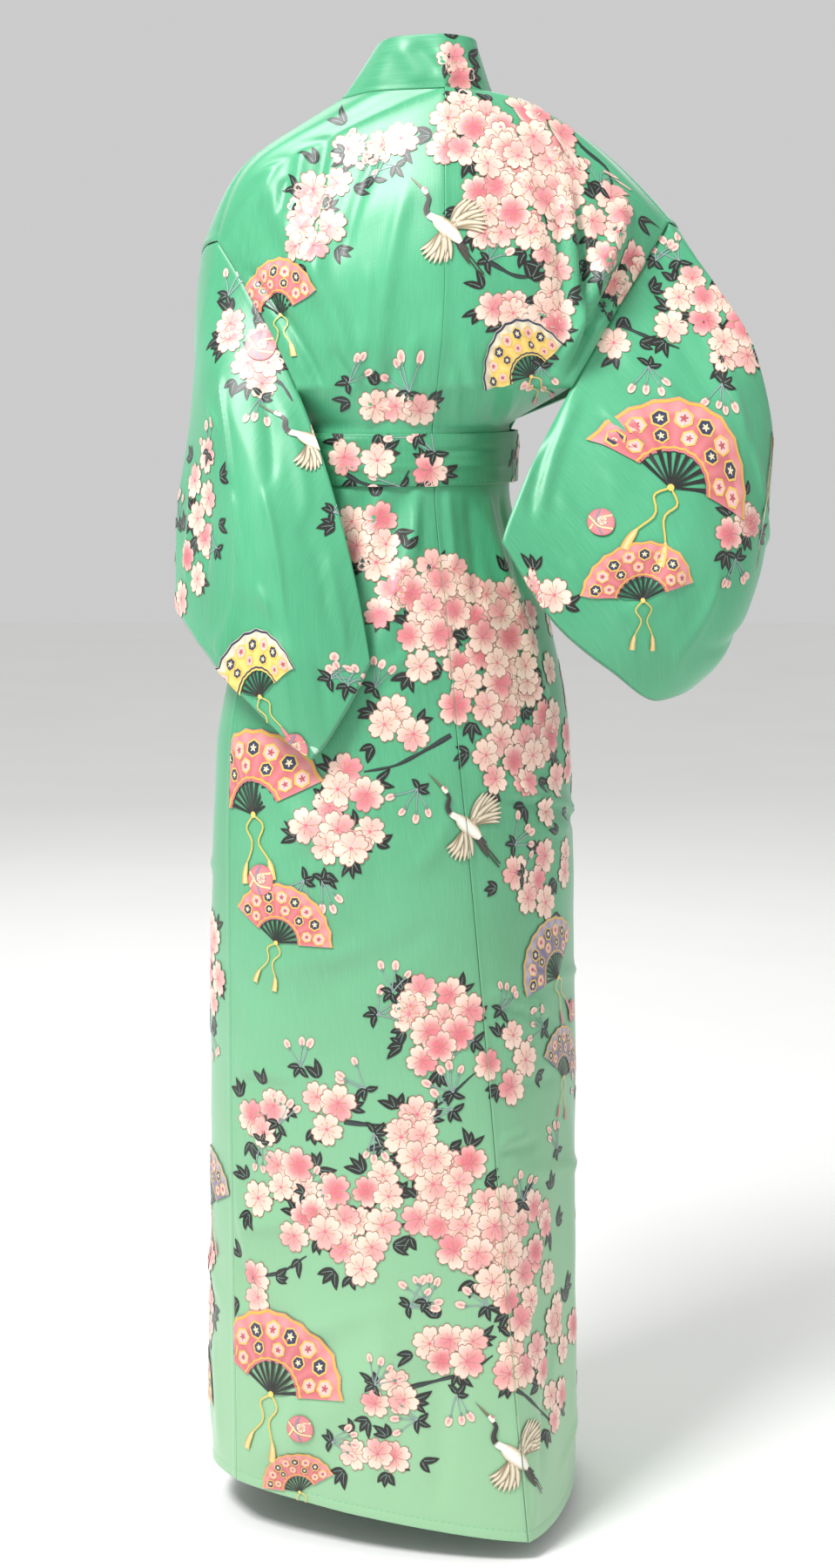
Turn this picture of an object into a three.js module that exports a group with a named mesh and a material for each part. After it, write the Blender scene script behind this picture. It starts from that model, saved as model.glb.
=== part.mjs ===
// Women's full-length kimono robe of printed sateen, as worn, seen hollow.
// Millimetres, +Z up. The front faces -Y and the wearer's left is +X.
// The origin is the middle of the neck, at the height of the nape seam.
import * as THREE from 'three';

const cloth = 1.5;            // wall of one layer of cloth
const seamGap = 0.35;         // between two pieces that are sewn together
const underarmGap = 2.6;
const armholeGap = 1.7;       // a body panel's edge from the sleeve, which leaves it at an angle
const layerLift = 4;          // the left front over the right front
const hemLevel = -1405;
const beltTop = -334;
const beltBottom = -384;
const beltThick = 2.4;
const collarWidth = 54;       // neck band, folded in half
const collarThick = 2.6;
const ridgeLevel = 60;        // row number of the fold over the shoulder
const panelWidth = 300;       // across a panel, for the width of its folds

// Level sections of body and skirt below the arms: centre, half width at the side seams,
// depth at the centre back and centre front, turn about Z, and how pointed the back is.
const sections = [
  { z: -1405, cx: 40, cy: 0, side: 196, back: 232, front: 152, turn: 32, point: 1.34 },
  { z: -1200, cx: 41, cy: 0, side: 194, back: 205, front: 150, turn: 31, point: 1.47 },
  { z: -1000, cx: 42, cy: 0, side: 192, back: 180, front: 146, turn: 30, point: 1.64 },
  { z: -820, cx: 43, cy: 0, side: 189, back: 155, front: 140, turn: 29, point: 1.8 },
  { z: -640, cx: 44, cy: 0, side: 180, back: 134, front: 130, turn: 26, point: 2.0 },
  { z: -500, cx: 42, cy: 0, side: 146, back: 112, front: 110, turn: 23, point: 2.1 },
  { z: -395, cx: 39, cy: 0, side: 106, back: 90, front: 90, turn: 20, point: 2.1 },
  { z: -328, cx: 38, cy: 0, side: 104, back: 88, front: 88, turn: 18, point: 2.1 },
];
const yokeDrop = 1.4;         // how late a row of the yoke drops on its way to the armhole
// The fold over the shoulder: the share of its drop that is even, and how late the rest drops.
const shoulderDrop = { left: { even: 0.55, late: 8 }, right: { even: 0, late: 1.75 } };
const hemRise = 28;           // how much higher the hem hangs at the left side seam than at the back
const hemRiseFrom = -1200;    // level at which that rise starts
const frontSquare = 2.3;      // how square the front of a level section is
const yokeSquare = 1.75;      // how square a row of the yoke is

// Rows above the belt: where each row starts at the centre back or neck seam, where it starts at the
// front, and the share of the sleeve's depth at which it meets the armhole.
const backYoke = [
  { v: -288, leftX: 6, rightX: 6, leftY: 103, rightY: 103, leftZ: -288, rightZ: -288, share: 0.4 },
  { v: -235, leftX: 1, rightX: 1, leftY: 112, rightY: 112, leftZ: -235, rightZ: -235, share: 0.32 },
  { v: -175, leftX: -1, rightX: -1, leftY: 112, rightY: 112, leftZ: -175, rightZ: -175, share: 0.24 },
  { v: -110, leftX: -1, rightX: -1, leftY: 99, rightY: 99, leftZ: -110, rightZ: -110, share: 0.15 },
  { v: -50, leftX: -1, rightX: -1, leftY: 74, rightY: 74, leftZ: -50, rightZ: -50, share: 0.08 },
  { v: 0, leftX: -1, rightX: -1, leftY: 50, rightY: 50, leftZ: -7, rightZ: -7, share: 0.03 },
  { v: 30, leftX: 62, rightX: -37, leftY: 34, rightY: 30, leftZ: -9, rightZ: -10, share: 0.012 },
  { v: 60, leftX: 98, rightX: -50, leftY: -2, rightY: -6, leftZ: -14, rightZ: -14, share: 0 },
];
const frontYoke = [
  { v: -288, leftX: 34, rightX: 34, leftY: -104, rightY: -104, leftZ: -288, rightZ: -288, share: 0.4 },
  { v: -235, leftX: 32, rightX: 32, leftY: -112, rightY: -112, leftZ: -235, rightZ: -235, share: 0.32 },
  { v: -175, leftX: 30, rightX: 30, leftY: -112, rightY: -112, leftZ: -178, rightZ: -178, share: 0.24 },
  { v: -110, leftX: 46, rightX: 12, leftY: -100, rightY: -100, leftZ: -128, rightZ: -128, share: 0.15 },
  { v: -50, leftX: 66, rightX: -12, leftY: -80, rightY: -80, leftZ: -84, rightZ: -84, share: 0.08 },
  { v: 0, leftX: 84, rightX: -34, leftY: -56, rightY: -56, leftZ: -45, rightZ: -45, share: 0.03 },
  { v: 30, leftX: 94, rightX: -46, leftY: -30, rightY: -32, leftZ: -25, rightZ: -25, share: 0.012 },
  { v: 60, leftX: 98, rightX: -50, leftY: -2, rightY: -6, leftZ: -14, rightZ: -14, share: 0 },
];

// Rings of the sleeves from armhole to cuff: top fold, a point part way down the back, bottom fold,
// the room between back and front there, and the way the back faces in plan.
const ringColumns = [
  'topX', 'topY', 'topZ', 'midX', 'midY', 'midZ', 'lowX', 'lowY', 'lowZ', 'thick', 'face',
];
const sleeveRings = {
  left: [
    [220, 6, -150, 141, 84, -290, 70, 144, -549, 112, 112],
    [240, 2, -240, 198, 98, -330, 84, 152, -578, 112, 98],
    [250, 0, -330, 206, 106, -395, 98, 156, -602, 108, 90],
    [264, -2, -425, 206, 112, -480, 112, 158, -624, 102, 86],
    [266, -2, -508, 220, 98, -556, 126, 156, -640, 84, 84],
  ],
  right: [
    [-220, 4, -132, -124, 78, -288, -55, 140, -434, 104, 68],
    [-265, 16, -192, -186, 100, -352, -106, 140, -512, 116, 84],
    [-304, 30, -258, -242, 112, -404, -160, 128, -558, 120, 92],
    [-322, 34, -345, -286, 96, -452, -208, 98, -590, 112, 112],
    [-322, 2, -400, -306, 44, -488, -250, 44, -580, 92, 150],
    [-300, -52, -418, -296, -20, -490, -262, -14, -556, 78, 178],
  ],
};

// Large folds of a panel: from one place to another on it, given across (0 at the centre back or
// top fold, 1 at the side) and by level, with the height of the ridge or depth of the trough.
const folds = {
  back_left: [
    { u0: 0.62, v0: 20, u1: 0.4, v1: -300, height: 7, width: 14 },
    { u0: 0.85, v0: -60, u1: 0.62, v1: -300, height: -7, width: 14 },
    { u0: 0.1, v0: -400, u1: 0.3, v1: -560, height: 5, width: 14 },
    { u0: 0.55, v0: -400, u1: 0.6, v1: -700, height: -6, width: 22 },
    { u0: 0.9, v0: -640, u1: 0.35, v1: -760, height: 5, width: 16 },
    { u0: 0.9, v0: -1390, u1: 0.3, v1: -1180, height: 6, width: 26 },
  ],
  back_right: [
    { u0: 0.66, v0: 0, u1: 0.66, v1: -250, height: 9, width: 12 },
    { u0: 0.78, v0: -40, u1: 0.78, v1: -270, height: -10, width: 10 },
    { u0: 0.3, v0: -400, u1: 0.45, v1: -620, height: 5, width: 14 },
    { u0: 0.12, v0: -640, u1: 0.8, v1: -720, height: -4, width: 18 },
    { u0: 0.5, v0: -1395, u1: 0.5, v1: -1000, height: 5, width: 24 },
  ],
  front_left: [
    { u0: 0.35, v0: -390, u1: 0.5, v1: -700, height: 6, width: 20 },
    { u0: 0.4, v0: -40, u1: 0.6, v1: -310, height: 7, width: 16 },
    { u0: 0.6, v0: -1395, u1: 0.45, v1: -900, height: 6, width: 26 },
  ],
};

const smooth = (t) => {
  const c = Math.min(1, Math.max(0, t));
  return c * c * (3 - 2 * c);
};
const mix = (a, b, t) => a + (b - a) * t;
const mix3 = (a, b, t) => [mix(a[0], b[0], t), mix(a[1], b[1], t), mix(a[2], b[2], t)];
const radians = (degrees) => (degrees * Math.PI) / 180;

// A value of a table at any place along its key column, by a cubic that never overshoots its rows.
function along(rows, key, at, name) {
  let i = 0;
  while (i < rows.length - 2 && at > rows[i + 1][key]) i += 1;
  const rise = (k) => (rows[k + 1][name] - rows[k][name]) / (rows[k + 1][key] - rows[k][key]);
  const slope = (k) => {
    if (k === 0) return rise(0);
    if (k === rows.length - 1) return rise(k - 1);
    const product = rise(k - 1) * rise(k);
    return product > 0 ? (2 * product) / (rise(k - 1) + rise(k)) : 0;
  };
  const step = rows[i + 1][key] - rows[i][key];
  const t = (at - rows[i][key]) / step;
  const t2 = t * t;
  const t3 = t2 * t;
  return (2 * t3 - 3 * t2 + 1) * rows[i][name] + (t3 - 2 * t2 + t) * step * slope(i)
    + (3 * t2 - 2 * t3) * rows[i + 1][name] + (t3 - t2) * step * slope(i + 1);
}

// Sleeve surface: u runs from armhole (0) to cuff (1), s down the sleeve's depth from the top fold
// (0) to the bottom fold (1), on the back (+1) or the front (-1) layer.
function ringNumbers(side) {
  return sleeveRings[side].map((ring, n) => {
    const named = ringColumns.map((column, k) => [column, ring[k]]);
    return { ...Object.fromEntries(named), n };
  });
}
const ringTable = { left: ringNumbers('left'), right: ringNumbers('right') };
const ringShare = 0.4;        // share of the depth at which a ring's middle point lies
const roomPeak = (5 / 6) ** 2.5 * Math.sqrt(1 / 6);
const sleeveEase = 6;         // least room between a sleeve's two layers, half way down

function sleevePoint(side, u, s, layer) {
  const rings = ringTable[side];
  const n = u * (rings.length - 1);
  const get = (name) => along(rings, 'n', n, name);
  const top = ((s - ringShare) * (s - 1)) / ringShare;
  const mid = (s * (s - 1)) / (ringShare * (ringShare - 1));
  const low = (s * (s - ringShare)) / (1 - ringShare);
  const bulge = ((1 - s) ** 2.5 * Math.sqrt(s)) / roomPeak;
  const room = get('thick') * bulge + sleeveEase * Math.sin(Math.PI * s);
  const face = radians(get('face'));
  const push = layer > 0 ? 0 : room;
  return [
    top * get('topX') + mid * get('midX') + low * get('lowX') - push * Math.cos(face),
    top * get('topY') + mid * get('midY') + low * get('lowY') - push * Math.sin(face),
    top * get('topZ') + mid * get('midZ') + low * get('lowZ'),
  ];
}

// One row of a body panel at a level: its inner end at the centre, its outer end at the side seam
// or armhole, and its roundness.
const sectionRows = sections.map((row) => ({ ...row, v: row.z }));
const waistTop = sections[sections.length - 1].z;

function bodyRow(side, face, v) {
  const sign = side === 'left' ? 1 : -1;
  const yoke = face === 'back' ? backYoke : frontYoke;
  if (v <= waistTop) {
    const get = (name) => along(sectionRows, 'v', v, name);
    const depth = face === 'back' ? get('back') : -get('front');
    return {
      cx: get('cx'), cy: get('cy'), turn: radians(get('turn')),
      inner: [0, depth, v], outer: [sign * get('side'), 0, v],
      point: face === 'back' ? get('point') : frontSquare,
    };
  }
  const blend = smooth((v - waistTop) / (backYoke[0].v - waistTop));
  const level = Math.max(v, yoke[0].v);
  const share = Math.max(0, along(yoke, 'v', level, 'share'));
  const inner = ['X', 'Y', 'Z'].map((axis) => along(yoke, 'v', level, side + axis));
  const outer = sleevePoint(side, 0, share, face === 'back' ? 1 : -1);
  const row = { cx: 0, cy: 0, turn: 0, inner, outer, point: yokeSquare };
  if (blend >= 1) return row;
  const low = bodyRow(side, face, waistTop);
  const part = { cx: low.cx * (1 - blend), cy: low.cy * (1 - blend), turn: low.turn * (1 - blend) };
  return {
    ...part, point: mix(low.point, row.point, blend),
    inner: unturned(part, mix3(turned(low, low.inner), inner, blend)),
    outer: unturned(part, mix3(turned(low, low.outer), outer, blend)),
  };
}

function turned(row, p) {
  const c = Math.cos(row.turn);
  const s = Math.sin(row.turn);
  return [row.cx + p[0] * c - p[1] * s, row.cy + p[0] * s + p[1] * c, p[2]];
}

function unturned(row, p) {
  const c = Math.cos(row.turn);
  const s = Math.sin(row.turn);
  const x = p[0] - row.cx;
  const y = p[1] - row.cy;
  return [x * c + y * s, y * c - x * s, p[2]];
}

// A point of the body's form: angle 0 at the centre, 90 degrees at the side.
function bodyPoint(side, face, v, degrees) {
  const row = bodyRow(side, face, v);
  const a = radians(degrees);
  const fx = Math.abs(Math.sin(a)) ** (2 / row.point);
  const fy = Math.abs(Math.cos(a)) ** (2 / row.point);
  const { even, late } = shoulderDrop[side];
  const drop = mix(fx ** yokeDrop, even * fx + (1 - even) * fx ** late, smooth((v + 60) / 90));
  const rise = side === 'left' ? hemRise * fx * smooth((hemRiseFrom - v) / (hemRiseFrom - hemLevel)) : 0;
  return turned(row, [
    mix(row.inner[0], row.outer[0], fx),
    mix(row.outer[1], row.inner[1], fy),
    mix(row.inner[2], row.outer[2], drop) + rise,
  ]);
}

// The way a panel faces at its centre or side seam, for the mitre between two panels.
function seamFacing(side, face, v, share) {
  const row = bodyRow(side, face, v);
  const sign = side === 'left' ? 1 : -1;
  const local = share < 0.5 ? [0, face === 'back' ? 1 : -1, 0] : [sign, 0, 0];
  const c = Math.cos(row.turn);
  const s = Math.sin(row.turn);
  return new THREE.Vector3(local[0] * c - local[1] * s, local[0] * s + local[1] * c, 0);
}

// A grid of points over two counts, from a function of two shares between 0 and 1.
function gridOf(rowCount, columnCount, pointAt) {
  const grid = [];
  for (let i = 0; i <= rowCount; i += 1) {
    const row = [];
    for (let j = 0; j <= columnCount; j += 1) row.push(pointAt(i / rowCount, j / columnCount));
    grid.push(row);
  }
  return grid;
}

const vec = (p) => new THREE.Vector3(p[0], p[1], p[2]);

function gridNormal(grid, i, j) {
  const up = vec(grid[Math.min(grid.length - 1, i + 1)][j]).sub(vec(grid[Math.max(0, i - 1)][j]));
  const across = vec(grid[i][Math.min(grid[i].length - 1, j + 1)]).sub(vec(grid[i][Math.max(0, j - 1)]));
  return across.cross(up).normalize();
}

// Draws a grid's edges in from its seams: gapAt gives each edge's distance by row and by column end.
function drawIn(grid, columnGap, rowGap) {
  const pull = (a, b, gap) => {
    const step = vec(b).sub(vec(a));
    return vec(a).add(step.multiplyScalar(gap / step.length())).toArray();
  };
  const end = grid.length - 1;
  const last = grid[0].length - 1;
  const result = grid.map((row, i) => row.map((p, j) => {
    const t = i / end;
    if (j === 0 && columnGap(t, 0) > 0) return pull(p, row[1], columnGap(t, 0));
    return j === last && columnGap(t, 1) > 0 ? pull(p, row[last - 1], columnGap(t, 1)) : [...p];
  }));
  if (rowGap > 0) {
    result[0] = result[0].map((p, j) => pull(p, result[1][j], rowGap));
    result[end] = result[end].map((p, j) => pull(p, result[end - 1][j], rowGap));
  }
  return result;
}

// The outer and inner skin over a grid, as two grids of points.
// Where seamNormal gives a direction, a seam's two walls meet on a mitre along it.
function skins(grid, thickness, lift, seamNormal) {
  const end = grid.length - 1;
  const last = grid[0].length - 1;
  return [0.5, -0.5].map((side) => grid.map((row, i) => row.map((p, j) => {
    const n = seamNormal(i / end, j / last) ?? gridNormal(grid, i, j);
    return vec(p).addScaledVector(n, lift(i / end, j / last) + side * thickness);
  })));
}

// Some rows of a skin: a row where it parts from the rest is drawn in from the cut.
function cutRows(skin, from, to) {
  const part = skin.slice(from, to + 1).map((row) => row.map((p) => p.clone()));
  const drawn = (row, next) => row.map((p, j) => {
    const step = next[j].clone().sub(p);
    return p.clone().addScaledVector(step, seamGap / 2 / step.length());
  });
  const end = part.length - 1;
  if (from > 0) part[0] = drawn(part[0], part[1]);
  if (to < skin.length - 1) part[end] = drawn(part[end], part[end - 1]);
  return part;
}

// A closed wall over a grid: the outer skin, the inner skin and the edges between them.
function wall(grid, thickness, lift, seamNormal = () => null, from = 0, to = grid.length - 1) {
  const rows = to - from + 1;
  const cols = grid[0].length;
  const points = skins(grid, thickness, lift, seamNormal).flatMap((skin) => cutRows(skin, from, to).flat());
  const at = (side, i, j) => side * rows * cols + i * cols + j;
  const faces = [];
  const quad = (a, b, c, d) => faces.push(a, b, c, a, c, d);
  for (let i = 0; i < rows - 1; i += 1) {
    for (let j = 0; j < cols - 1; j += 1) {
      quad(at(0, i, j), at(0, i, j + 1), at(0, i + 1, j + 1), at(0, i + 1, j));
      quad(at(1, i, j), at(1, i + 1, j), at(1, i + 1, j + 1), at(1, i, j + 1));
    }
  }
  for (let j = 0; j < cols - 1; j += 1) {
    quad(at(1, 0, j), at(1, 0, j + 1), at(0, 0, j + 1), at(0, 0, j));
    quad(at(0, rows - 1, j), at(0, rows - 1, j + 1), at(1, rows - 1, j + 1), at(1, rows - 1, j));
  }
  for (let i = 0; i < rows - 1; i += 1) {
    quad(at(0, i, 0), at(0, i + 1, 0), at(1, i + 1, 0), at(1, i, 0));
    quad(at(1, i, cols - 1), at(1, i + 1, cols - 1), at(0, i + 1, cols - 1), at(0, i, cols - 1));
  }
  return geometryOf(points, faces);
}

// A closed wall round a tube of rings, open at both ends.
function tubeWall(grid, thickness) {
  const rows = grid.length;
  const cols = grid[0].length;
  const points = [];
  for (const side of [0.5, -0.5]) {
    for (let i = 0; i < rows; i += 1) {
      for (let j = 0; j < cols; j += 1) {
        const up = vec(grid[Math.min(rows - 1, i + 1)][j]).sub(vec(grid[Math.max(0, i - 1)][j]));
        const across = vec(grid[i][(j + 1) % cols]).sub(vec(grid[i][(j + cols - 1) % cols]));
        points.push(vec(grid[i][j]).addScaledVector(across.cross(up).normalize(), side * thickness));
      }
    }
  }
  const at = (side, i, j) => side * rows * cols + i * cols + (j % cols);
  const faces = [];
  const quad = (a, b, c, d) => faces.push(a, b, c, a, c, d);
  for (let j = 0; j < cols; j += 1) {
    for (let i = 0; i < rows - 1; i += 1) {
      quad(at(0, i, j), at(0, i, j + 1), at(0, i + 1, j + 1), at(0, i + 1, j));
      quad(at(1, i, j), at(1, i + 1, j), at(1, i + 1, j + 1), at(1, i, j + 1));
    }
    quad(at(1, 0, j), at(1, 0, j + 1), at(0, 0, j + 1), at(0, 0, j));
    quad(at(0, rows - 1, j), at(0, rows - 1, j + 1), at(1, rows - 1, j + 1), at(1, rows - 1, j));
  }
  return geometryOf(points, faces);
}

function geometryOf(points, faces) {
  const numbers = points.flatMap((p) => p.toArray());
  const geometry = new THREE.BufferGeometry();
  geometry.setAttribute('position', new THREE.Float32BufferAttribute(numbers, 3));
  geometry.setIndex(faces);
  geometry.computeVertexNormals();
  return geometry;
}

// Height of a panel's large folds at a place: each is a ridge of bell section along a line on the
// panel, and fades towards its ends.
const foldEnd = 0.2;
const foldFade = 4;
function foldHeight(name, u, v) {
  let sum = 0;
  for (const fold of folds[name] ?? []) {
    const dx = (fold.u1 - fold.u0) * panelWidth;
    const dv = fold.v1 - fold.v0;
    const px = (u - fold.u0) * panelWidth;
    const pv = v - fold.v0;
    const c = Math.min(1, Math.max(0, (px * dx + pv * dv) / (dx * dx + dv * dv)));
    const far = Math.hypot(px - c * dx, pv - c * dv);
    const fade = smooth(c * foldFade + foldEnd) * smooth((1 - c) * foldFade + foldEnd);
    sum += fold.height * Math.exp(-((far / fold.width) ** 2)) * fade;
  }
  return sum;
}

const group = new THREE.Group();
const colours = { cloth: '#56be8c', belt: '#49ad7c', collar: '#5cc492' };

function add(name, geometry, colour) {
  const material = new THREE.MeshStandardMaterial({ color: colour, roughness: 0.45, metalness: 0 });
  const mesh = new THREE.Mesh(geometry, material);
  mesh.name = name;
  group.add(mesh);
}

// Levels of the rows of every body panel, closer together at the waist and over the shoulder.
const bands = [
  { top: -640, steps: 8 }, { top: -395, steps: 5 }, { top: -328, steps: 3 },
  { top: -288, steps: 2 }, { top: -50, steps: 7 }, { top: 0, steps: 2 }, { top: ridgeLevel, steps: 4 },
];
const rowLevels = bands.reduce((levels, band) => {
  const from = levels[levels.length - 1];
  for (let k = 1; k <= band.steps; k += 1) levels.push(mix(from, band.top, k / band.steps));
  return levels;
}, [hemLevel]);
const bodyRows = rowLevels.length - 1;
const overlapRows = 19;       // the overlap panel ends at this row, where it has tapered away
// Each panel is three solids, one above the other, parted under the belt and at mid skirt.
const tiers = [
  { name: 'lower', from: 0, to: 5 },
  { name: 'middle', from: 5, to: 15 },
  { name: 'upper', from: 15, to: bodyRows },
];
// The overlaps are parted once more, at the hips.
const overlapTiers = [
  { name: 'lower', from: 0, to: 5 },
  { name: 'middle', from: 5, to: 8 },
  { name: 'hip', from: 8, to: 15 },
  { name: 'upper', from: 15, to: overlapRows },
];
const armLevel = -320;        // below it the panels meet at the side seam
const underarmLevel = -270;
const levelOf = (t, count) => rowLevels[Math.round(t * count)];

// Over the shoulder, front and back meet on an upright mitre.
function ridgeFacing(side, face, degrees) {
  const a = bodyPoint(side, face, ridgeLevel, Math.min(88, degrees));
  const b = bodyPoint(side, face, ridgeLevel, Math.min(88, degrees) + 2);
  const n = new THREE.Vector3(a[2] - b[2], 0, b[0] - a[0]).normalize();
  return n.z < 0 ? n.negate() : n;
}

function panelSeams(side, face, v, share) {
  if (v === ridgeLevel) return ridgeFacing(side, face, share * 90);
  if (face === 'back' && share === 0 && v < 0) return seamFacing(side, face, v, 0);
  return share > 0.999 && v < armLevel ? seamFacing(side, face, v, 1) : null;
}

// The panel's edge keeps wider at the underarm, where the sleeve turns away below it.
function edgeGap(v, atSide) {
  if (!atSide || v < armLevel) return seamGap / 2;
  return v < underarmLevel ? underarmGap : armholeGap;
}

function addTiers(name, grid, lift, seam) {
  for (const tier of name.startsWith('overlap') ? overlapTiers : tiers) {
    add(`${name}_${tier.name}`, wall(grid, cloth, lift, seam, tier.from, tier.to), colours.cloth);
  }
}

function backPanel(side) {
  const name = `back_${side}`;
  const flip = side === 'left';
  const shareAt = (w) => (flip ? 1 - w : w);
  const level = (t) => levelOf(t, bodyRows);
  const grid = gridOf(bodyRows, 14, (t, w) => bodyPoint(side, 'back', level(t), shareAt(w) * 90));
  const lift = (t, w) => {
    const u = shareAt(w);
    const v = level(t);
    return foldHeight(name, u, v) * smooth(u * 8) * smooth((1 - u) * 8) * smooth((ridgeLevel - v) / 60);
  };
  const seam = (t, w) => panelSeams(side, 'back', level(t), shareAt(w));
  const gap = (t, w) => edgeGap(level(t), shareAt(w) === 1);
  addTiers(name, drawIn(grid, gap, seamGap / 2), lift, seam);
}

// Front panels pass the centre front: the share runs from the side seam (1) to the centre (0) and
// on across the other side (below 0).
function frontPoint(side, v, share) {
  const other = side === 'left' ? 'right' : 'left';
  return share >= 0 ? bodyPoint(side, 'front', v, share * 90) : bodyPoint(other, 'front', v, -share * 90);
}

// Shares at which the front meets the overlap panel, and at which the overlap panel ends at the
// collar or its own hem: over on the left front, under on the right front, which it covers.
const frontEdges = [
  { v: -1405, seam: 0.02, over: -0.42, under: -0.42 },
  { v: -900, seam: 0.0, over: -0.5, under: -0.46 },
  { v: -640, seam: -0.02, over: -0.56, under: -0.5 },
  { v: -480, seam: -0.08, over: -0.6, under: -0.48 },
  { v: -384, seam: -0.14, over: -0.6, under: -0.42 },
  { v: -334, seam: -0.16, over: -0.54, under: -0.36 },
  { v: -288, seam: -0.15, over: -0.27, under: -0.26 },
  { v: -235, seam: -0.12, over: -0.15, under: -0.16 },
  { v: -175, seam: 0, over: 0, under: 0 },
  { v: 60, seam: 0, over: 0, under: 0 },
];
const overlapTop = rowLevels[overlapRows];
const edgeShare = (side, v) => Math.min(0, along(frontEdges, 'v', v, side === 'left' ? 'over' : 'under'));
const seamShare = (side, v) => (v > overlapTop ? edgeShare(side, v) : along(frontEdges, 'v', v, 'seam'));

// The left front lies over the right one, and comes down to the form at its side seam.
function frontLift(side, share, v) {
  if (side === 'right') return 0;
  return layerLift * smooth((1 - share) * 3.5) * smooth((ridgeLevel - 20 - v) / 150);
}

function frontSheet(side, name, rows, columns, shareFrom, shareTo) {
  const flip = side === 'left';
  const place = (t, w) => {
    const v = levelOf(t, rows);
    return { v, share: mix(shareTo(side, v), shareFrom(side, v), flip ? w : 1 - w) };
  };
  const grid = gridOf(rows, columns, (t, w) => {
    const { v, share } = place(t, w);
    return frontPoint(side, v, share);
  });
  const lift = (t, w) => {
    const { v, share } = place(t, w);
    const within = smooth((1 - share) * 8) * smooth((share + 0.1) * 6) * smooth((ridgeLevel - v) / 60);
    return frontLift(side, share, v) + foldHeight(name, share, v) * within;
  };
  const seam = (t, w) => {
    const { v, share } = place(t, w);
    return panelSeams(side, 'front', v, share);
  };
  const gap = (t, w) => {
    const { v, share } = place(t, w);
    return edgeGap(v, share > 0.999);
  };
  addTiers(name, drawIn(grid, gap, seamGap / 2), lift, seam);
}

function frontPanels(side) {
  const sideSeam = () => 1;
  frontSheet(side, `front_${side}`, bodyRows, 12, sideSeam, seamShare);
  frontSheet(side, `overlap_${side}`, overlapRows, 5, seamShare, edgeShare);
}

// Sleeves: a tube of rings, each round the back layer and then up the front layer.
const ringHalf = 11;
const depthShare = (s) => s * (0.35 + 0.65 * s);

function sleeve(side) {
  const rows = 18;
  const steps = 2 * ringHalf - 1;
  const grid = gridOf(rows, steps, (u, w) => {
    const step = Math.round(w * steps);
    const s = step <= ringHalf ? step / ringHalf : (2 * ringHalf - step) / ringHalf;
    return sleevePoint(side, u, depthShare(s), step <= ringHalf ? 1 : -1);
  });
  const ordered = side === 'left' ? grid : grid.map((row) => [...row].reverse());
  add(`sleeve_${side}`, tubeWall(drawIn(ordered, () => 0, seamGap / 2), cloth), colours.cloth);
}

// Neck band: the way it stands from the neck seam, from the side of the neck down each front.
const bandStands = [
  { v: -175, inward: 0.93, forward: 0.12, up: 0.36 },
  { v: -110, inward: 0.84, forward: 0.2, up: 0.52 },
  { v: -50, inward: 0.7, forward: 0.16, up: 0.7 },
  { v: 0, inward: 0.52, forward: 0.08, up: 0.85 },
  { v: 60, inward: 0.3, forward: 0, up: 0.95 },
];
const bandColumns = [0, 0.2, 0.4, 0.6, 0.8, 1];
const bandEndRow = 8;         // the band ends level with this row of the fronts
const bandLift = 0.9;         // the band off the fronts
const seamRise = 3.2;         // its seam edge off the neck seam of the panels
const bodyMiddle = 34;        // X of the middle of the waist
const quarterArc = 1.42;      // length of a quarter of a level section, over its half width
const wrapRaise = 0.36;       // share of the band's width by which it climbs where the fronts cross
const blouse = { level: -312, height: 15, left: 3.4, right: -1.2 };  // swell above the belt
const leftEase = 1.4;         // the left band off the right front
const leftLean = 0.25;        // how much further the left band leans in at the neck
const underLean = 0.34;       // how far the right band leans in, under the left front
const napeLeft = 0.55;        // how far it leans in at the left of the neck
const napeRise = 0.95;        // its height at the back, over its width
const napeLean = -0.12;       // how far the band leans back at the nape
const napeSteps = 6;          // stations from the side of the neck to the nape

function frontBandStation(side, v) {
  const sign = side === 'left' ? 1 : -1;
  const share = edgeShare(side, v);
  const lift = bandLift + (side === 'left' ? layerLift * smooth((ridgeLevel - 20 - v) / 150) : 0);
  if (v < bandStands[0].v) {
    const raise = wrapRaise * collarWidth * smooth((v - beltTop) / 100);
    const swell = blouse[side] * Math.exp(-(((v - blouse.level) / blouse.height) ** 2));
    const ease = swell + (side === 'left' ? leftEase : 0);
    const row = bodyRow(side === 'left' ? 'right' : 'left', 'front', v);
    const width = collarWidth / (quarterArc * Math.abs(row.outer[0] - row.inner[0]));
    return bandColumns.map((w) => {
      const p = frontPoint(side, v + w * raise, share - w * width);
      const away = new THREE.Vector3(p[0] - bodyMiddle, p[1], 0).normalize();
      return vec(p).addScaledVector(away, lift + ease * Math.sin(Math.PI * w * 0.5)).toArray();
    });
  }
  const get = (name) => along(bandStands, 'v', v, name);
  const seam = frontPoint(side, v, share);
  const inward = get('inward') + (side === 'left' ? leftLean * smooth((v + 60) / 120) : 0);
  const forward = side === 'left' ? get('forward') : -underLean * smooth((-v - 20) / 60);
  return bandColumns.map((w) => [
    seam[0] - sign * w * collarWidth * inward,
    seam[1] - w * collarWidth * forward - lift,
    seam[2] + w * collarWidth * get('up'),
  ]);
}

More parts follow.
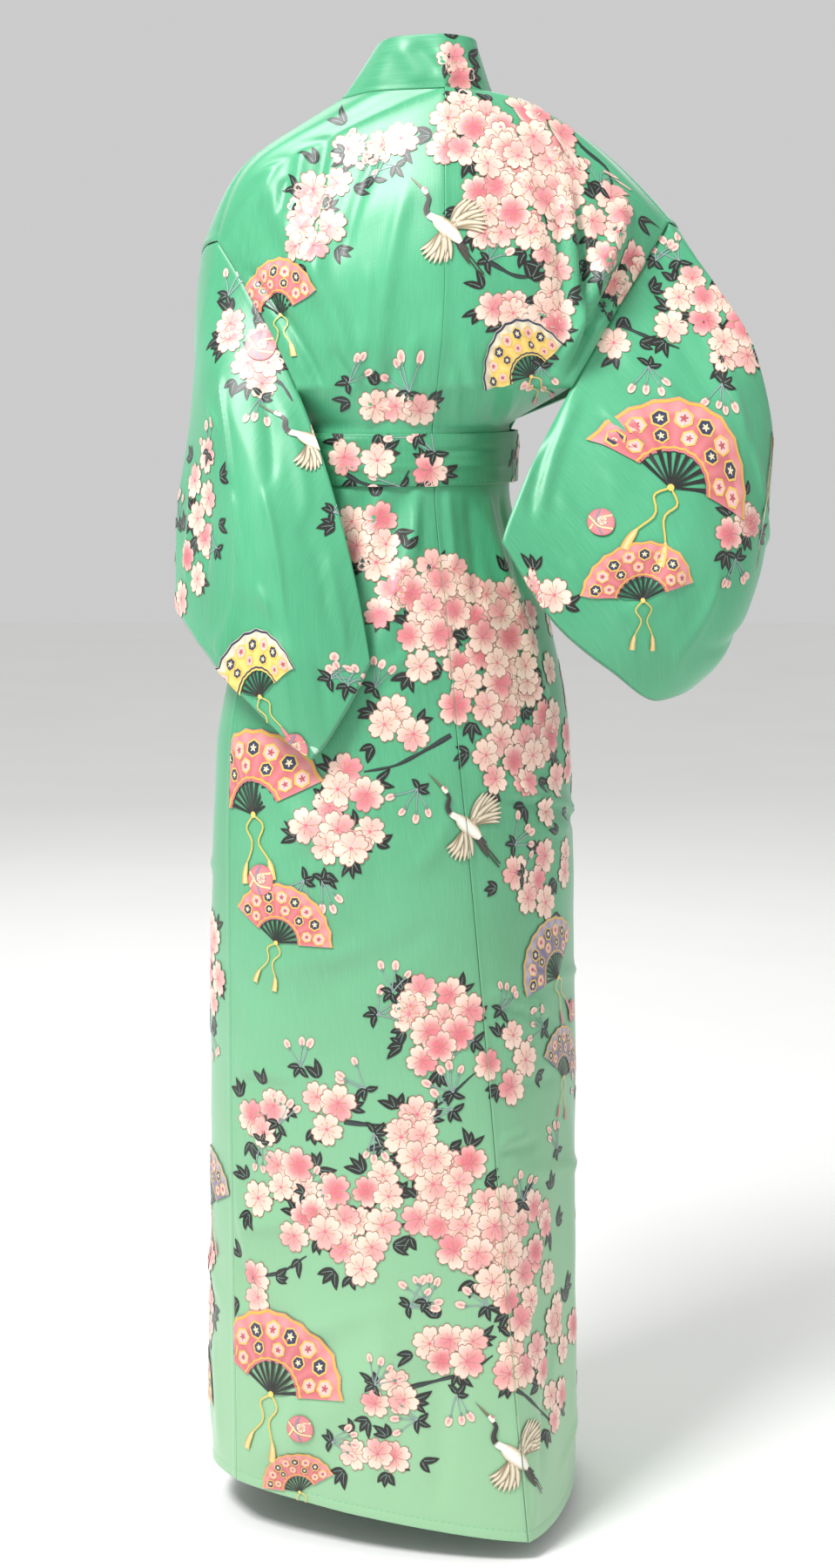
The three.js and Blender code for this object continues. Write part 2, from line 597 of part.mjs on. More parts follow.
function napeBandStation(side, v) {
  const seam = bodyPoint(side, 'back', v, 0);
  const turn = smooth(v / ridgeLevel);
  const sign = side === 'left' ? 1 : -1;
  const lean = (side === 'left' ? napeLeft : bandStands[bandStands.length - 1].inward) * turn;
  return bandColumns.map((w) => [
    seam[0] - sign * w * collarWidth * lean,
    seam[1] + w * collarWidth * napeLean * (1 - turn),
    seam[2] + w * collarWidth * napeRise,
  ]);
}

// The band's seam edge stands a little above the neck seam of the panels.
function collar() {
  const stations = [];
  const fronts = rowLevels.slice(bandEndRow);
  fronts.forEach((v) => stations.push(frontBandStation('left', v)));
  for (let k = 1 - napeSteps; k < napeSteps; k += 1) {
    const side = k < 0 ? 'left' : 'right';
    stations.push(napeBandStation(side, (ridgeLevel * Math.abs(k)) / napeSteps));
  }
  [...fronts].reverse().forEach((v) => stations.push(frontBandStation('right', v)));
  const raised = stations.map((row) => row.map((p, j) => {
    const next = vec(row[1]).sub(vec(row[0])).normalize();
    return vec(p).addScaledVector(next, j === 0 ? seamRise : 0).toArray();
  }));
  // three solids, parted where the band goes over the shoulders
  const ridge = fronts.length - 1;
  const end = raised.length - 1;
  const lengths = { left: [0, ridge], nape: [ridge, end - ridge], right: [end - ridge, end] };
  for (const [name, [from, to]] of Object.entries(lengths)) {
    const part = wall(raised, collarThick, () => 0, () => null, from, to);
    add(`collar_${name}`, part, colours.collar);
  }
}

// Belt: a band round the waist, snug at the back and over the wrapped fronts.
const beltLift = { back: 2.6, front: 10.4, left: 4.6, right: 10.4 };
const beltSteps = 13;         // stations in a quarter of its way round

function belt() {
  const stations = [];
  for (const [side, face] of [['left', 'back'], ['left', 'front'], ['right', 'front'], ['right', 'back']]) {
    const outward = (side === 'left') === (face === 'back');
    for (let k = 0; k < beltSteps; k += 1) {
      stations.push([side, face, 90 * (outward ? k / beltSteps : 1 - k / beltSteps)]);
    }
  }
  const grid = gridOf(4, stations.length - 1, (t, w) => {
    const [side, face, degrees] = stations[Math.round(w * (stations.length - 1))];
    const v = mix(beltBottom, beltTop, t);
    const base = bodyPoint(side, face, v, degrees);
    const row = bodyRow(side, face, v);
    const share = degrees / 90;
    const nearSide = face === 'back' ? smooth(share * 2 - 1) : smooth(share * 5 - 4);
    const rise = mix(beltLift[face], beltLift[side], nearSide);
    const out = vec(base).sub(new THREE.Vector3(row.cx, row.cy, base[2])).normalize();
    return vec(base).addScaledVector(out, rise).toArray();
  });
  add('belt', tubeWall(grid.map((row) => [...row].reverse()), beltThick), colours.belt);
}

// The knot and the two ends of the belt at the centre front.
const knot = { across: 26, up: 27, thick: 6, share: -0.02, lift: 14.9, bulge: 8, pinch: 0.18 };
const beltEnds = [
  { name: 'belt_end_left', share: 0.1, top: -387.3, length: 250, spread: 0.05 },
  { name: 'belt_end_right', share: -0.14, top: -387.3, length: 285, spread: -0.06 },
];
const endHalf = 23;           // half the width of a belt end
const endGather = 0.3;        // how much narrower it is where it leaves the knot
const endLift = { low: 9.5, knot: 15 };
const acrossShare = 0.72;     // share of the quarter's angle that one half width of the waist takes

function beltKnot() {
  const middle = (beltTop + beltBottom) / 2;
  const bulge = (t, w) => (1 - (2 * t - 1) ** 4) * (1 - (2 * w - 1) ** 4);
  const grid = gridOf(6, 6, (t, w) => {
    const v = middle + (2 * t - 1) * knot.up;
    const pinch = 1 - knot.pinch * (1 - (2 * t - 1) ** 2);
    const across = (knot.across * acrossShare * pinch) / bodyRow('left', 'front', middle).outer[0];
    return frontPoint('left', v, knot.share + across * (2 * w - 1));
  });
  add('belt_knot', wall(grid, knot.thick, (t, w) => knot.lift + knot.bulge * bulge(t, w)), colours.belt);
}

function beltEnd(end) {
  const grid = gridOf(12, 3, (t, w) => {
    const v = end.top - end.length * (1 - t);
    const row = bodyRow('left', 'front', v);
    const middle = end.share + end.spread * (1 - t);
    const half = endHalf * (1 - endGather * smooth(t * 3 - 2));
    const across = (half * acrossShare) / row.outer[0];
    return frontPoint('left', v, middle + across * (2 * w - 1));
  });
  add(end.name, wall(grid, cloth, (t) => mix(endLift.low, endLift.knot, smooth(t * 6 - 5))), colours.belt);
}

backPanel('left');
backPanel('right');
frontPanels('left');
frontPanels('right');
sleeve('left');
sleeve('right');
collar();
belt();
beltKnot();
beltEnds.forEach(beltEnd);

export default group;
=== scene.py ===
# Women's full-length kimono robe of printed cotton sateen in its worn shape, seen from behind
import bpy
import numpy as np
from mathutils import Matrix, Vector


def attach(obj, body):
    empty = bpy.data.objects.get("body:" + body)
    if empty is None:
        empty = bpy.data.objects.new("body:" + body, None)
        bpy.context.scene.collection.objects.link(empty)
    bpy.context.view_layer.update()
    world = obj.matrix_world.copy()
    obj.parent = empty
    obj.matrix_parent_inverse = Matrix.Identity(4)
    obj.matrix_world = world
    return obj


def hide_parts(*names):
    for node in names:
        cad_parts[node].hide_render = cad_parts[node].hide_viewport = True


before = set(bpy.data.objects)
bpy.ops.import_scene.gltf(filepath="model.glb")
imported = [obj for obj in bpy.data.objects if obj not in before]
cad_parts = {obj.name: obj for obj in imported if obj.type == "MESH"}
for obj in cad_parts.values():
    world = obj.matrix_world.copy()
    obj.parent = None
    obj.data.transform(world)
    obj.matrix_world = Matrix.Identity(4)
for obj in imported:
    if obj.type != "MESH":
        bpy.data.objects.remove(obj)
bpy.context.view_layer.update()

# All shapes are worked out in millimetres in the frame's own axes: the front faces -Y, the wearer's left
# is +X, +Z is up and the origin is the middle of the neck. They are put into Blender in metres.
mm = 0.001
print("frame loaded")

# What sets the garment's form, as in the solids that the shells replace
robe = {
    "hemLevel": -1405, "beltTop": -334, "beltBottom": -384, "ridgeLevel": 60,
    "hemRise": 28,              # the hem's left side seam hangs this much higher
    "hemTurn": 10,              # the turned hem's height, also where its stitches run
    "hemRiseFrom": -1200,
    "frontSquare": 2.3,
    "yokeSquare": 1.75,
    "yokeDrop": 1.4,
    "shoulderDrop": {"left": (0.55, 8), "right": (0, 1.75)},   # even share, and how late the rest drops
    "layerLift": 4,             # the left front over the right front
    "panelWidth": 300,
    "shell": 0.9,               # thickness of one layer as it is shown
}

# level, centre x, centre y, half width at the sides, depth back, depth front, turn, roundness of the back
sections = [
    (-1405, 40, 0, 196, 232, 152, 32, 1.34),
    (-1200, 41, 0, 194, 205, 150, 31, 1.47),
    (-1000, 42, 0, 192, 180, 146, 30, 1.64),
    (-820, 43, 0, 189, 155, 140, 29, 1.8),
    (-640, 44, 0, 180, 134, 130, 26, 2.0),
    (-500, 42, 0, 146, 112, 110, 23, 2.1),
    (-395, 39, 0, 106, 90, 90, 20, 2.1),
    (-328, 38, 0, 104, 88, 88, 18, 2.1),
]
waistTop = -328
# row, x at the left and right panel's inner end, y the same, z the same, share of the sleeve's depth
backYoke = [
    (-288, 6, 6, 103, 103, -288, -288, 0.4),
    (-235, 1, 1, 112, 112, -235, -235, 0.32),
    (-175, -1, -1, 112, 112, -175, -175, 0.24),
    (-110, -1, -1, 99, 99, -110, -110, 0.15),
    (-50, -1, -1, 74, 74, -50, -50, 0.08),
    (0, -1, -1, 50, 50, -7, -7, 0.03),
    (30, 62, -37, 34, 30, -9, -10, 0.012),
    (60, 98, -50, -2, -6, -14, -14, 0),
]
frontYoke = [
    (-288, 34, 34, -104, -104, -288, -288, 0.4),
    (-235, 32, 32, -112, -112, -235, -235, 0.32),
    (-175, 30, 30, -112, -112, -178, -178, 0.24),
    (-110, 46, 12, -100, -100, -128, -128, 0.15),
    (-50, 66, -12, -80, -80, -84, -84, 0.08),
    (0, 84, -34, -56, -56, -45, -45, 0.03),
    (30, 94, -46, -30, -32, -25, -25, 0.012),
    (60, 98, -50, -2, -6, -14, -14, 0),
]
# ring, top fold, point part way down the back, bottom fold, room between the layers, way the back faces
sleeveRings = {
    "left": [
        (0, 220, 6, -150, 141, 84, -290, 70, 144, -549, 112, 112),
        (1, 240, 2, -240, 198, 98, -330, 84, 152, -578, 112, 98),
        (2, 250, 0, -330, 206, 106, -395, 98, 156, -602, 108, 90),
        (3, 264, -2, -425, 206, 112, -480, 112, 158, -624, 102, 86),
        (4, 266, -2, -508, 220, 98, -556, 126, 156, -640, 84, 84),
    ],
    "right": [
        (0, -220, 4, -132, -124, 78, -288, -55, 140, -434, 104, 68),
        (1, -265, 16, -192, -186, 100, -352, -106, 140, -512, 116, 84),
        (2, -304, 30, -258, -242, 112, -404, -160, 128, -558, 120, 92),
        (3, -322, 34, -345, -286, 96, -452, -208, 98, -590, 112, 112),
        (4, -322, 2, -400, -306, 44, -488, -250, 44, -580, 92, 150),
        (5, -300, -52, -418, -296, -20, -490, -262, -14, -556, 78, 178),
    ],
}
ringShare = 0.4               # how far down a ring its middle point is
roomPeak = (5 / 6) ** 2.5 * (1 / 6) ** 0.5
sleeveEase = 6
armholeShare = 0.42           # share of the sleeve's depth that is sewn to the armhole
# large folds that the solids have too: share across and level at each end, height, half width
panelFolds = {
    "back_left": [
        (0.62, 20, 0.4, -300, 7, 14), (0.85, -60, 0.62, -300, -7, 14), (0.1, -400, 0.3, -560, 5, 14),
        (0.55, -400, 0.6, -700, -6, 22), (0.9, -640, 0.35, -760, 5, 16), (0.9, -1390, 0.3, -1180, 6, 26),
    ],
    "back_right": [
        (0.66, 0, 0.66, -250, 9, 12), (0.78, -40, 0.78, -270, -10, 10), (0.3, -400, 0.45, -620, 5, 14),
        (0.12, -640, 0.8, -720, -4, 18), (0.5, -1395, 0.5, -1000, 5, 24),
    ],
    "front_left": [
        (0.35, -390, 0.5, -700, 6, 20), (0.4, -40, 0.6, -310, 7, 16), (0.6, -1395, 0.45, -900, 6, 26),
    ],
}
# level, share where the front meets the overlap, where the left overlap ends, where the right one ends
frontEdges = [
    (-1405, 0.02, -0.42, -0.42), (-900, 0, -0.5, -0.46), (-640, -0.02, -0.56, -0.5),
    (-480, -0.08, -0.6, -0.48), (-384, -0.14, -0.6, -0.42), (-334, -0.16, -0.54, -0.36),
    (-288, -0.15, -0.27, -0.26), (-235, -0.12, -0.15, -0.16), (-175, 0, 0, 0), (60, 0, 0, 0),
]
overlapTop = -220             # level at which the overlap panels have tapered away


def smooth(t):
    # 0 below 0, 1 above 1 and an even S between: t squared times (3 - 2t)
    t = np.clip(t, 0, 1)
    return t * t * (3 - 2 * t)


def mix(a, b, t):
    return a + (b - a) * t


def along(rows, at):
    # A table's columns at places along its first one: a cubic between rows, whose slope at a row is the
    # harmonic mean of the rises beside it, so that it never overshoots
    rows = np.asarray(rows, float)
    at = np.clip(np.asarray(at, float), rows[0, 0], rows[-1, 0])
    step = np.diff(rows[:, 0])
    rise = np.diff(rows, axis=0) / step[:, None]
    product = rise[:-1] * rise[1:]
    total = np.where(product > 0, rise[:-1] + rise[1:], 1)
    slope = np.vstack([rise[:1], np.where(product > 0, 2 * product / total, 0), rise[-1:]])
    i = np.clip(np.searchsorted(rows[:, 0], at) - 1, 0, len(rows) - 2)
    t = ((at - rows[i, 0]) / step[i])[..., None]
    h = step[i][..., None]
    t2, t3 = t * t, t * t * t
    return ((2 * t3 - 3 * t2 + 1) * rows[i] + (t3 - 2 * t2 + t) * h * slope[i]
            + (3 * t2 - 2 * t3) * rows[i + 1] + (t3 - t2) * h * slope[i + 1])


def sleevePoint(side, u, s, layer):
    # u from armhole to cuff, s down the depth: a parabola through the ring's top, middle and bottom, and
    # the front layer is moved off the back one by the ring's room times (1 - s) to 2.5 times root s
    u, s = np.broadcast_arrays(np.asarray(u, float), np.asarray(s, float))
    ring = along(sleeveRings[side], u * (len(sleeveRings[side]) - 1))
    top = ((s - ringShare) * (s - 1) / ringShare)[..., None]
    middle = (s * (s - 1) / (ringShare * (ringShare - 1)))[..., None]
    low = (s * (s - ringShare) / (1 - ringShare))[..., None]
    room = ring[..., 10] * (1 - s) ** 2.5 * np.sqrt(s) / roomPeak + sleeveEase * np.sin(np.pi * s)
    room = np.where(np.asarray(layer) > 0, 0, room)
    face = np.radians(ring[..., 11])
    away = np.stack([room * np.cos(face), room * np.sin(face), 0 * room], -1)
    return top * ring[..., 1:4] + middle * ring[..., 4:7] + low * ring[..., 7:10] - away


def turned(p, centre, turn, back=False):
    # turns points about Z and moves them to a section's centre, or takes them back
    c, s = np.cos(turn), np.sin(turn)
    if back:
        x, y = p[..., 0] - centre[..., 0], p[..., 1] - centre[..., 1]
        return np.stack([x * c + y * s, y * c - x * s, p[..., 2]], -1)
    x, y = p[..., 0], p[..., 1]
    return np.stack([centre[..., 0] + x * c - y * s, centre[..., 1] + x * s + y * c, p[..., 2]], -1)


def bodyRow(side, face, v):
    # one row of a body panel: inner and outer end, roundness, centre and turn
    sign = 1 if side == "left" else -1
    low = along(sections, np.minimum(v, waistTop))
    z = np.minimum(v, waistTop)
    depth = low[..., 4] if face == "back" else -low[..., 5]
    lowInner = np.stack([0 * z, depth, z], -1)
    lowOuter = np.stack([sign * low[..., 3], 0 * z, z], -1)
    yoke = along(backYoke if face == "back" else frontYoke, np.maximum(v, backYoke[0][0]))
    columns = [1, 3, 5] if side == "left" else [2, 4, 6]
    high = yoke[..., columns]
    highOuter = sleevePoint(side, 0, np.maximum(yoke[..., 7], 0), 1 if face == "back" else -1)
    blend = smooth((v - waistTop) / (backYoke[0][0] - waistTop))
    centre, turn = low[..., 1:3], np.radians(low[..., 6])
    newCentre, newTurn = centre * (1 - blend)[..., None], turn * (1 - blend)
    b = blend[..., None]
    inner = turned(mix(turned(lowInner, centre, turn), high, b), newCentre, newTurn, True)
    outer = turned(mix(turned(lowOuter, centre, turn), highOuter, b), newCentre, newTurn, True)
    square = low[..., 7] if face == "back" else robe["frontSquare"]
    return inner, outer, mix(square, robe["yokeSquare"], blend), newCentre, newTurn


def bodyPoint(side, face, v, share):
    # a quarter of a superellipse from the centre (share 0) to the side (share 1) at each level
    v, share = np.broadcast_arrays(np.asarray(v, float), np.asarray(share, float))
    inner, outer, point, centre, turn = bodyRow(side, face, v)
    a = np.clip(share, 0, 1) * np.pi / 2
    fx, fy = np.abs(np.sin(a)) ** (2 / point), np.abs(np.cos(a)) ** (2 / point)
    even, late = robe["shoulderDrop"][side]
    drop = mix(fx ** robe["yokeDrop"], even * fx + (1 - even) * fx ** late, smooth((v + 60) / 90))
    start, hem = robe["hemRiseFrom"], robe["hemLevel"]
    rise = robe["hemRise"] * fx * smooth((start - v) / (start - hem)) if side == "left" else 0
    p = np.stack([mix(inner[..., 0], outer[..., 0], fx), mix(outer[..., 1], inner[..., 1], fy),
                  mix(inner[..., 2], outer[..., 2], drop) + rise], -1)
    return turned(p, centre, turn)


def frontPoint(side, v, share):
    # shares below 0 run on across the other front
    other = "right" if side == "left" else "left"
    own = bodyPoint(side, "front", v, np.maximum(share, 0))
    across = bodyPoint(other, "front", v, np.maximum(-share, 0))
    return np.where((np.asarray(share) >= 0)[..., None] + 0 * own[..., :1] > 0, own, across)


def edgeShare(side, v):
    return np.minimum(0, along(frontEdges, v)[..., 2 if side == "left" else 3])


def seamShare(side, v):
    return np.where(v > overlapTop, edgeShare(side, v), along(frontEdges, v)[..., 1])


def frontLift(side, v, share):
    if side == "right":
        return 0 * v
    near = smooth((robe["ridgeLevel"] - 20 - v) / 150)
    return robe["layerLift"] * smooth((1 - share) * 3.5) * near


def bell(x, y, folds):
    # heights of folds at places on a panel: each is a bell section across a line that may bow, fading
    # at its ends. Columns: x and y of each end, height, half width, and the bow sideways
    total = 0 * x
    for x0, y0, x1, y1, height, width, *bow in folds:
        dx, dy = x1 - x0, y1 - y0
        length = np.hypot(dx, dy)
        t = np.clip(((x - x0) * dx + (y - y0) * dy) / length ** 2, 0, 1)
        side = 4 * t * (1 - t) * (bow[0] if bow else 0)
        far = np.hypot(x - x0 - t * dx + side * dy / length, y - y0 - t * dy - side * dx / length)
        fade = smooth(t * 4 + 0.2) * smooth((1 - t) * 4 + 0.2)
        total = total + height * np.exp(-(far / width) ** 2) * fade
    return total


def unevenness(x, y, size, seed):
    # soft random heights from -1 to 1: random values on a lattice of that size, smoothed between
    rng = np.random.default_rng(seed)
    table = rng.uniform(-1, 1, (64, 64))
    gx, gy = x / size, y / size
    ix, iy = np.floor(gx).astype(int), np.floor(gy).astype(int)
    fx, fy = smooth(gx - ix), smooth(gy - iy)
    a, b = table[ix % 64, iy % 64], table[(ix + 1) % 64, iy % 64]
    c, d = table[ix % 64, (iy + 1) % 64], table[(ix + 1) % 64, (iy + 1) % 64]
    return mix(mix(a, b, fx), mix(c, d, fx), fy)


def lengths(points):
    # distance along each row of points, from its first
    step = np.linalg.norm(np.diff(points, axis=1), axis=2)
    return np.concatenate([np.zeros((len(points), 1)), np.cumsum(step, axis=1)], axis=1)


def normalsOf(points, outward):
    # cross product of the steps along and across the grid
    n = np.cross(np.gradient(points, axis=1), np.gradient(points, axis=0))
    n /= np.maximum(np.linalg.norm(n, axis=2, keepdims=True), 1e-9)
    return n * outward


# The camera stands where the photo was taken from; its pixels place what shows from there
camera = {"place": (25, 3050, -220), "pitch": 8.7, "focus": 3529, "middle": (479.5, 900), "tall": 1800}


def inPicture(points):
    # pixel of each point: its distance right and up from the camera's axis over its depth, times the focus
    away = points - np.array(camera["place"])
    pitch = np.radians(camera["pitch"])
    depth = -away[..., 1] * np.cos(pitch) - away[..., 2] * np.sin(pitch)
    up = -away[..., 1] * np.sin(pitch) + away[..., 2] * np.cos(pitch)
    x = camera["middle"][0] - camera["focus"] * away[..., 0] / depth
    y = camera["middle"][1] - camera["focus"] * up / depth
    return np.stack([x, y], -1)


# Main creases that show, by the pixels of their ends, then height, half width and bow in millimetres
seenCreases = {
    "back_left": [
        (470, 205, 430, 470, 2.5, 9, 10), (440, 150, 395, 300, -2.5, 9, 6),
        (420, 300, 400, 470, 2, 7, -6), (380, 170, 372, 330, 2.8, 8, 8), (360, 160, 352, 300, -3, 7, 6),
        (340, 175, 338, 260, 3, 7, 4), (330, 200, 325, 250, -2.5, 5, 3), (310, 190, 300, 240, 2.4, 6, 3),
        (375, 400, 440, 480, -2, 6, 5), (478, 380, 470, 485, 2, 6, 2), (452, 410, 447, 488, -1.8, 5, 2),
        (425, 430, 424, 488, 1.8, 5, -2), (480, 560, 476, 640, 2.2, 6, 2),
        (462, 560, 452, 690, -2.2, 7, 3), (440, 560, 425, 650, 2.4, 6, 4),
        (418, 560, 398, 700, -2.4, 7, 4), (400, 562, 380, 640, 2, 6, 3), (425, 770, 470, 752, 2.2, 5, 3),
        (430, 785, 480, 770, -1.8, 5, 3), (300, 1110, 420, 1085, 1.6, 8, 6),
        (270, 1225, 340, 1240, 2.4, 5, -4), (275, 1240, 330, 1254, -2, 4, -3),
        (360, 1130, 500, 1060, -1.6, 12, 8), (265, 1400, 420, 1360, 3, 10, 12),
        (268, 1450, 400, 1560, -3.2, 12, 10), (300, 1560, 470, 1500, 2.4, 12, -14),
        (270, 1330, 300, 1500, 2.6, 9, 5), (420, 1700, 440, 1500, 2.4, 12, 8),
        (500, 1735, 500, 1560, -2.2, 12, 6), (345, 1690, 350, 1560, 2.6, 11, -6),
        (470, 1000, 520, 930, 1.8, 9, 6), (330, 1000, 420, 960, -1.6, 10, -6),
    ],
    "back_right": [
        (663, 212, 675, 391, -7, 7, 3), (651, 205, 662, 380, 4.5, 8, 3), (640, 230, 648, 360, -2.5, 7, 2),
        (600, 180, 622, 330, 2.2, 10, 6), (560, 160, 575, 330, -2, 10, 6),
        (620, 130, 650, 200, 2.6, 8, 5), (535, 390, 540, 488, 2, 6, 2), (560, 400, 563, 488, -2, 5, -2),
        (520, 420, 523, 488, 1.8, 5, 2), (575, 420, 577, 485, 2, 5, 1), (600, 380, 640, 430, -2.4, 6, 3),
        (590, 330, 650, 395, 2.2, 7, 4), (512, 560, 520, 650, 2, 6, 2), (535, 562, 548, 700, -2, 7, 3),
        (556, 562, 576, 640, 2.2, 6, 2), (575, 565, 600, 690, -2, 6, 3), (545, 700, 600, 720, 1.8, 6, 2),
        (560, 905, 640, 935, 2.8, 5, 4), (565, 920, 640, 948, -2.4, 5, 4), (600, 960, 655, 945, 2, 5, 3),
        (555, 1140, 630, 1165, 3, 5, 4), (560, 1152, 635, 1176, -2.4, 4, 3),
        (590, 1130, 655, 1110, 1.8, 5, 3), (565, 1318, 605, 1300, 2.6, 4, 3),
        (563, 1330, 620, 1312, -2.2, 4, 3), (575, 1350, 655, 1330, 2, 5, 3),
        (590, 1590, 625, 1430, 2.2, 8, 5), (620, 1700, 640, 1480, -2.4, 8, 4),
        (612, 1760, 620, 1620, 2.2, 8, 3), (640, 1700, 655, 1560, 2, 6, 3),
        (575, 1250, 640, 1235, -1.6, 6, 3),
    ],
    "sleeve_left": [
        (253, 429, 268, 560, 3.4, 6, 5), (268, 560, 275, 652, 3.2, 6, 3), (275, 652, 246, 748, 2.8, 6, 6),
        (240, 470, 252, 500, 2, 3.5, 2), (290, 310, 340, 440, 2.4, 9, 8),
        (265, 300, 300, 400, -2.4, 8, 6), (300, 440, 312, 560, -2.4, 9, 5),
        (322, 460, 352, 600, 2.2, 9, 6), (292, 680, 312, 705, 2.2, 4, 2), (340, 600, 380, 700, -2, 9, 6),
        (300, 560, 330, 720, 2, 10, 8), (370, 640, 400, 760, 2, 8, 4), (310, 760, 372, 800, 2.4, 6, 4),
        (330, 800, 385, 820, -2.2, 5, 3), (290, 780, 345, 850, 2.4, 6, 4),
        (240, 560, 236, 660, -2.4, 7, 3), (222, 560, 214, 660, 2.2, 7, 3),
        (262, 690, 330, 740, -2.2, 7, 4),
    ],
    "sleeve_right": [
        (690, 470, 760, 520, 2.4, 4, 5), (692, 482, 756, 530, -2, 4, 4),
        (640, 560, 720, 640, 2.2, 10, 12), (700, 380, 790, 470, 2, 12, 10),
        (665, 450, 620, 600, 2.8, 6, 5), (645, 470, 604, 600, -2.6, 5, 4),
        (740, 300, 830, 470, -2, 12, 12), (800, 340, 862, 520, 2.2, 10, 8),
        (720, 700, 790, 640, 2.4, 9, 8), (700, 690, 770, 620, -2.2, 9, 8),
        (770, 760, 830, 660, 2.6, 8, 8), (800, 740, 850, 650, -2.4, 7, 6),
        (650, 640, 720, 720, 2.2, 7, 5), (610, 640, 660, 690, -2, 5, 3), (860, 500, 862, 620, 2.2, 7, 4),
        (690, 540, 780, 600, 1.8, 7, 6), (760, 430, 830, 560, 1.6, 10, 8),
        (742, 270, 716, 340, -2.2, 6, 4),
    ],
}
# The same kind of creases on the sides that the photo doesn't show: distance along the row and level of
# each end, height, half width and bow, all in millimetres
hiddenCreases = {
    "front_left": [
        (60, -150, 120, -300, 2.6, 8, 8), (95, -140, 150, -300, -2.6, 8, 8),
        (130, -160, 170, -290, 2.4, 7, 6), (30, -390, 60, -520, 2.4, 7, 5),
        (60, -392, 80, -600, -2.4, 8, 5), (90, -390, 120, -520, 2.2, 7, 4),
        (130, -392, 150, -560, -2, 7, 4), (40, -760, 180, -800, 2.2, 7, 8),
        (60, -780, 190, -815, -1.8, 6, 6), (150, -1060, 290, -1000, 2, 10, 8),
        (20, -1200, 140, -1160, 2.4, 9, 8), (80, -1390, 110, -1180, 2.8, 12, 8),
        (190, -1395, 200, -1150, -2.6, 12, 6), (40, -1390, 60, -1240, 2.2, 10, 6),
    ],
    "front_right": [
        (60, -150, 120, -300, 2.4, 8, -8), (90, -140, 160, -290, -2.4, 8, 8),
        (40, -390, 60, -540, 2.2, 7, 5), (75, -392, 90, -600, -2.4, 8, 4),
        (110, -390, 130, -500, 2, 7, 4), (30, -900, 170, -930, 2.2, 7, 6),
        (40, -915, 160, -948, -1.8, 6, 6), (100, -1395, 100, -1200, 2.6, 12, 6),
        (200, -1390, 210, -1180, -2.2, 12, 6),
    ],
    "overlap_left": [
        (10, -390, 30, -560, 2, 7, 4), (50, -392, 60, -640, -2, 8, 4), (20, -900, 130, -940, 2, 7, 6),
        (60, -1390, 60, -1150, 2.4, 12, 6),
    ],
    "overlap_right": [(30, -420, 40, -640, 1.6, 8, 4), (60, -1380, 60, -1150, 2, 12, 6)],
}
# How strongly each kind of crease shows, and the size of the soft unevenness in millimetres
crease = {
    "seenBack": 1.35, "unevenBack": 1.1, "unevenFront": 0.8, "unevenSize": 46,
    "seenSleeve": 1.25, "hiddenSleeve": 2.2, "unevenSleeve": 0.9,
}
# Columns of each kind of panel, and the height of a row on its straight part
fineness = {"back": 66, "front": 54, "overlap": 34, "row": 6.0, "sleeve": 92, "sleeveRound": 190}
formMiddle = (40, 0)          # a point inside the body form, seen from above
panels = {}


def sideOf(points, middle):
    # 1 where the grid's own normals point away from the middle line, and -1 where they point to it
    n = normalsOf(points, 1)
    away = points[..., :2] - np.array(middle)
    return 1 if (n[..., :2] * away).sum() > 0 else -1


def setPanel(name, base, across, levels, outward, lift):
    # keeps a panel's outer skin, moved out along the form's normals, with what places the print on it:
    # distance along each row and each row's level
    normal = normalsOf(base, outward)
    points = base + normal * (lift + robe["shell"] / 2)[..., None]
    panels[name] = {"points": points, "normal": normalsOf(points, outward), "across": across,
                    "levels": levels, "outward": outward}


def largeFolds(name, share, v):
    wide = robe["panelWidth"]
    folds = [(a * wide, b, c * wide, *rest) for a, b, c, *rest in panelFolds.get(name, [])]
    return bell(share * wide, v, folds)


def awayFromSeams(x, v):
    # 0 at a body panel's seams and at the shoulder, 1 on its open cloth
    return smooth(x / 14) * smooth((x[:, -1:] - x) / 14) * smooth((robe["ridgeLevel"] - v) / 30)


def bendSeen(name, base, x, y):
    # creases given by pixels are carried to the panel's own distances before they are added up
    pixels = inPicture(base)
    folds = []
    for x0, y0, x1, y1, *rest in seenCreases.get(name, []):
        ends = []
        for end in ((x0, y0), (x1, y1)):
            near = np.argmin(((pixels - np.array(end)) ** 2).sum(-1))
            ends += [x.flat[near], y.flat[near]]
        folds.append((*ends, *rest))
    return bell(x, y, folds)


def fineColumns(count):
    # even shares of a row, with a few close to its two seams
    edge = np.array([0, 0.004, 0.009, 0.015, 0.024])
    return np.concatenate([edge, np.linspace(0.036, 0.964, count - 10), 1 - edge[::-1]])


hemRows = [-1405, -1404, -1401, -1398, -1396.4, -1395, -1393.6, -1391]
bodyLevels = np.concatenate([hemRows, np.arange(-1387, -60, fineness["row"]), np.linspace(-60, 60, 46)])


def seamWelt(x, amount=1.0):
    # the sewn edge sinks into the seam and the turned cloth lifts a low welt beside it
    return amount * (0.9 * np.exp(-((x - 3.4) / 2.4) ** 2) - 0.7 * np.exp(-(x / 1.2) ** 2))


def hemHeight(v):
    # the hem's turn stands a little proud, below a stitched groove
    low = v - robe["hemLevel"] - robe["hemTurn"]
    return np.where(low < 40, 0.35 * smooth(-low / 3 + 1) - 0.7 * np.exp(-(low / 1.6) ** 2), 0)


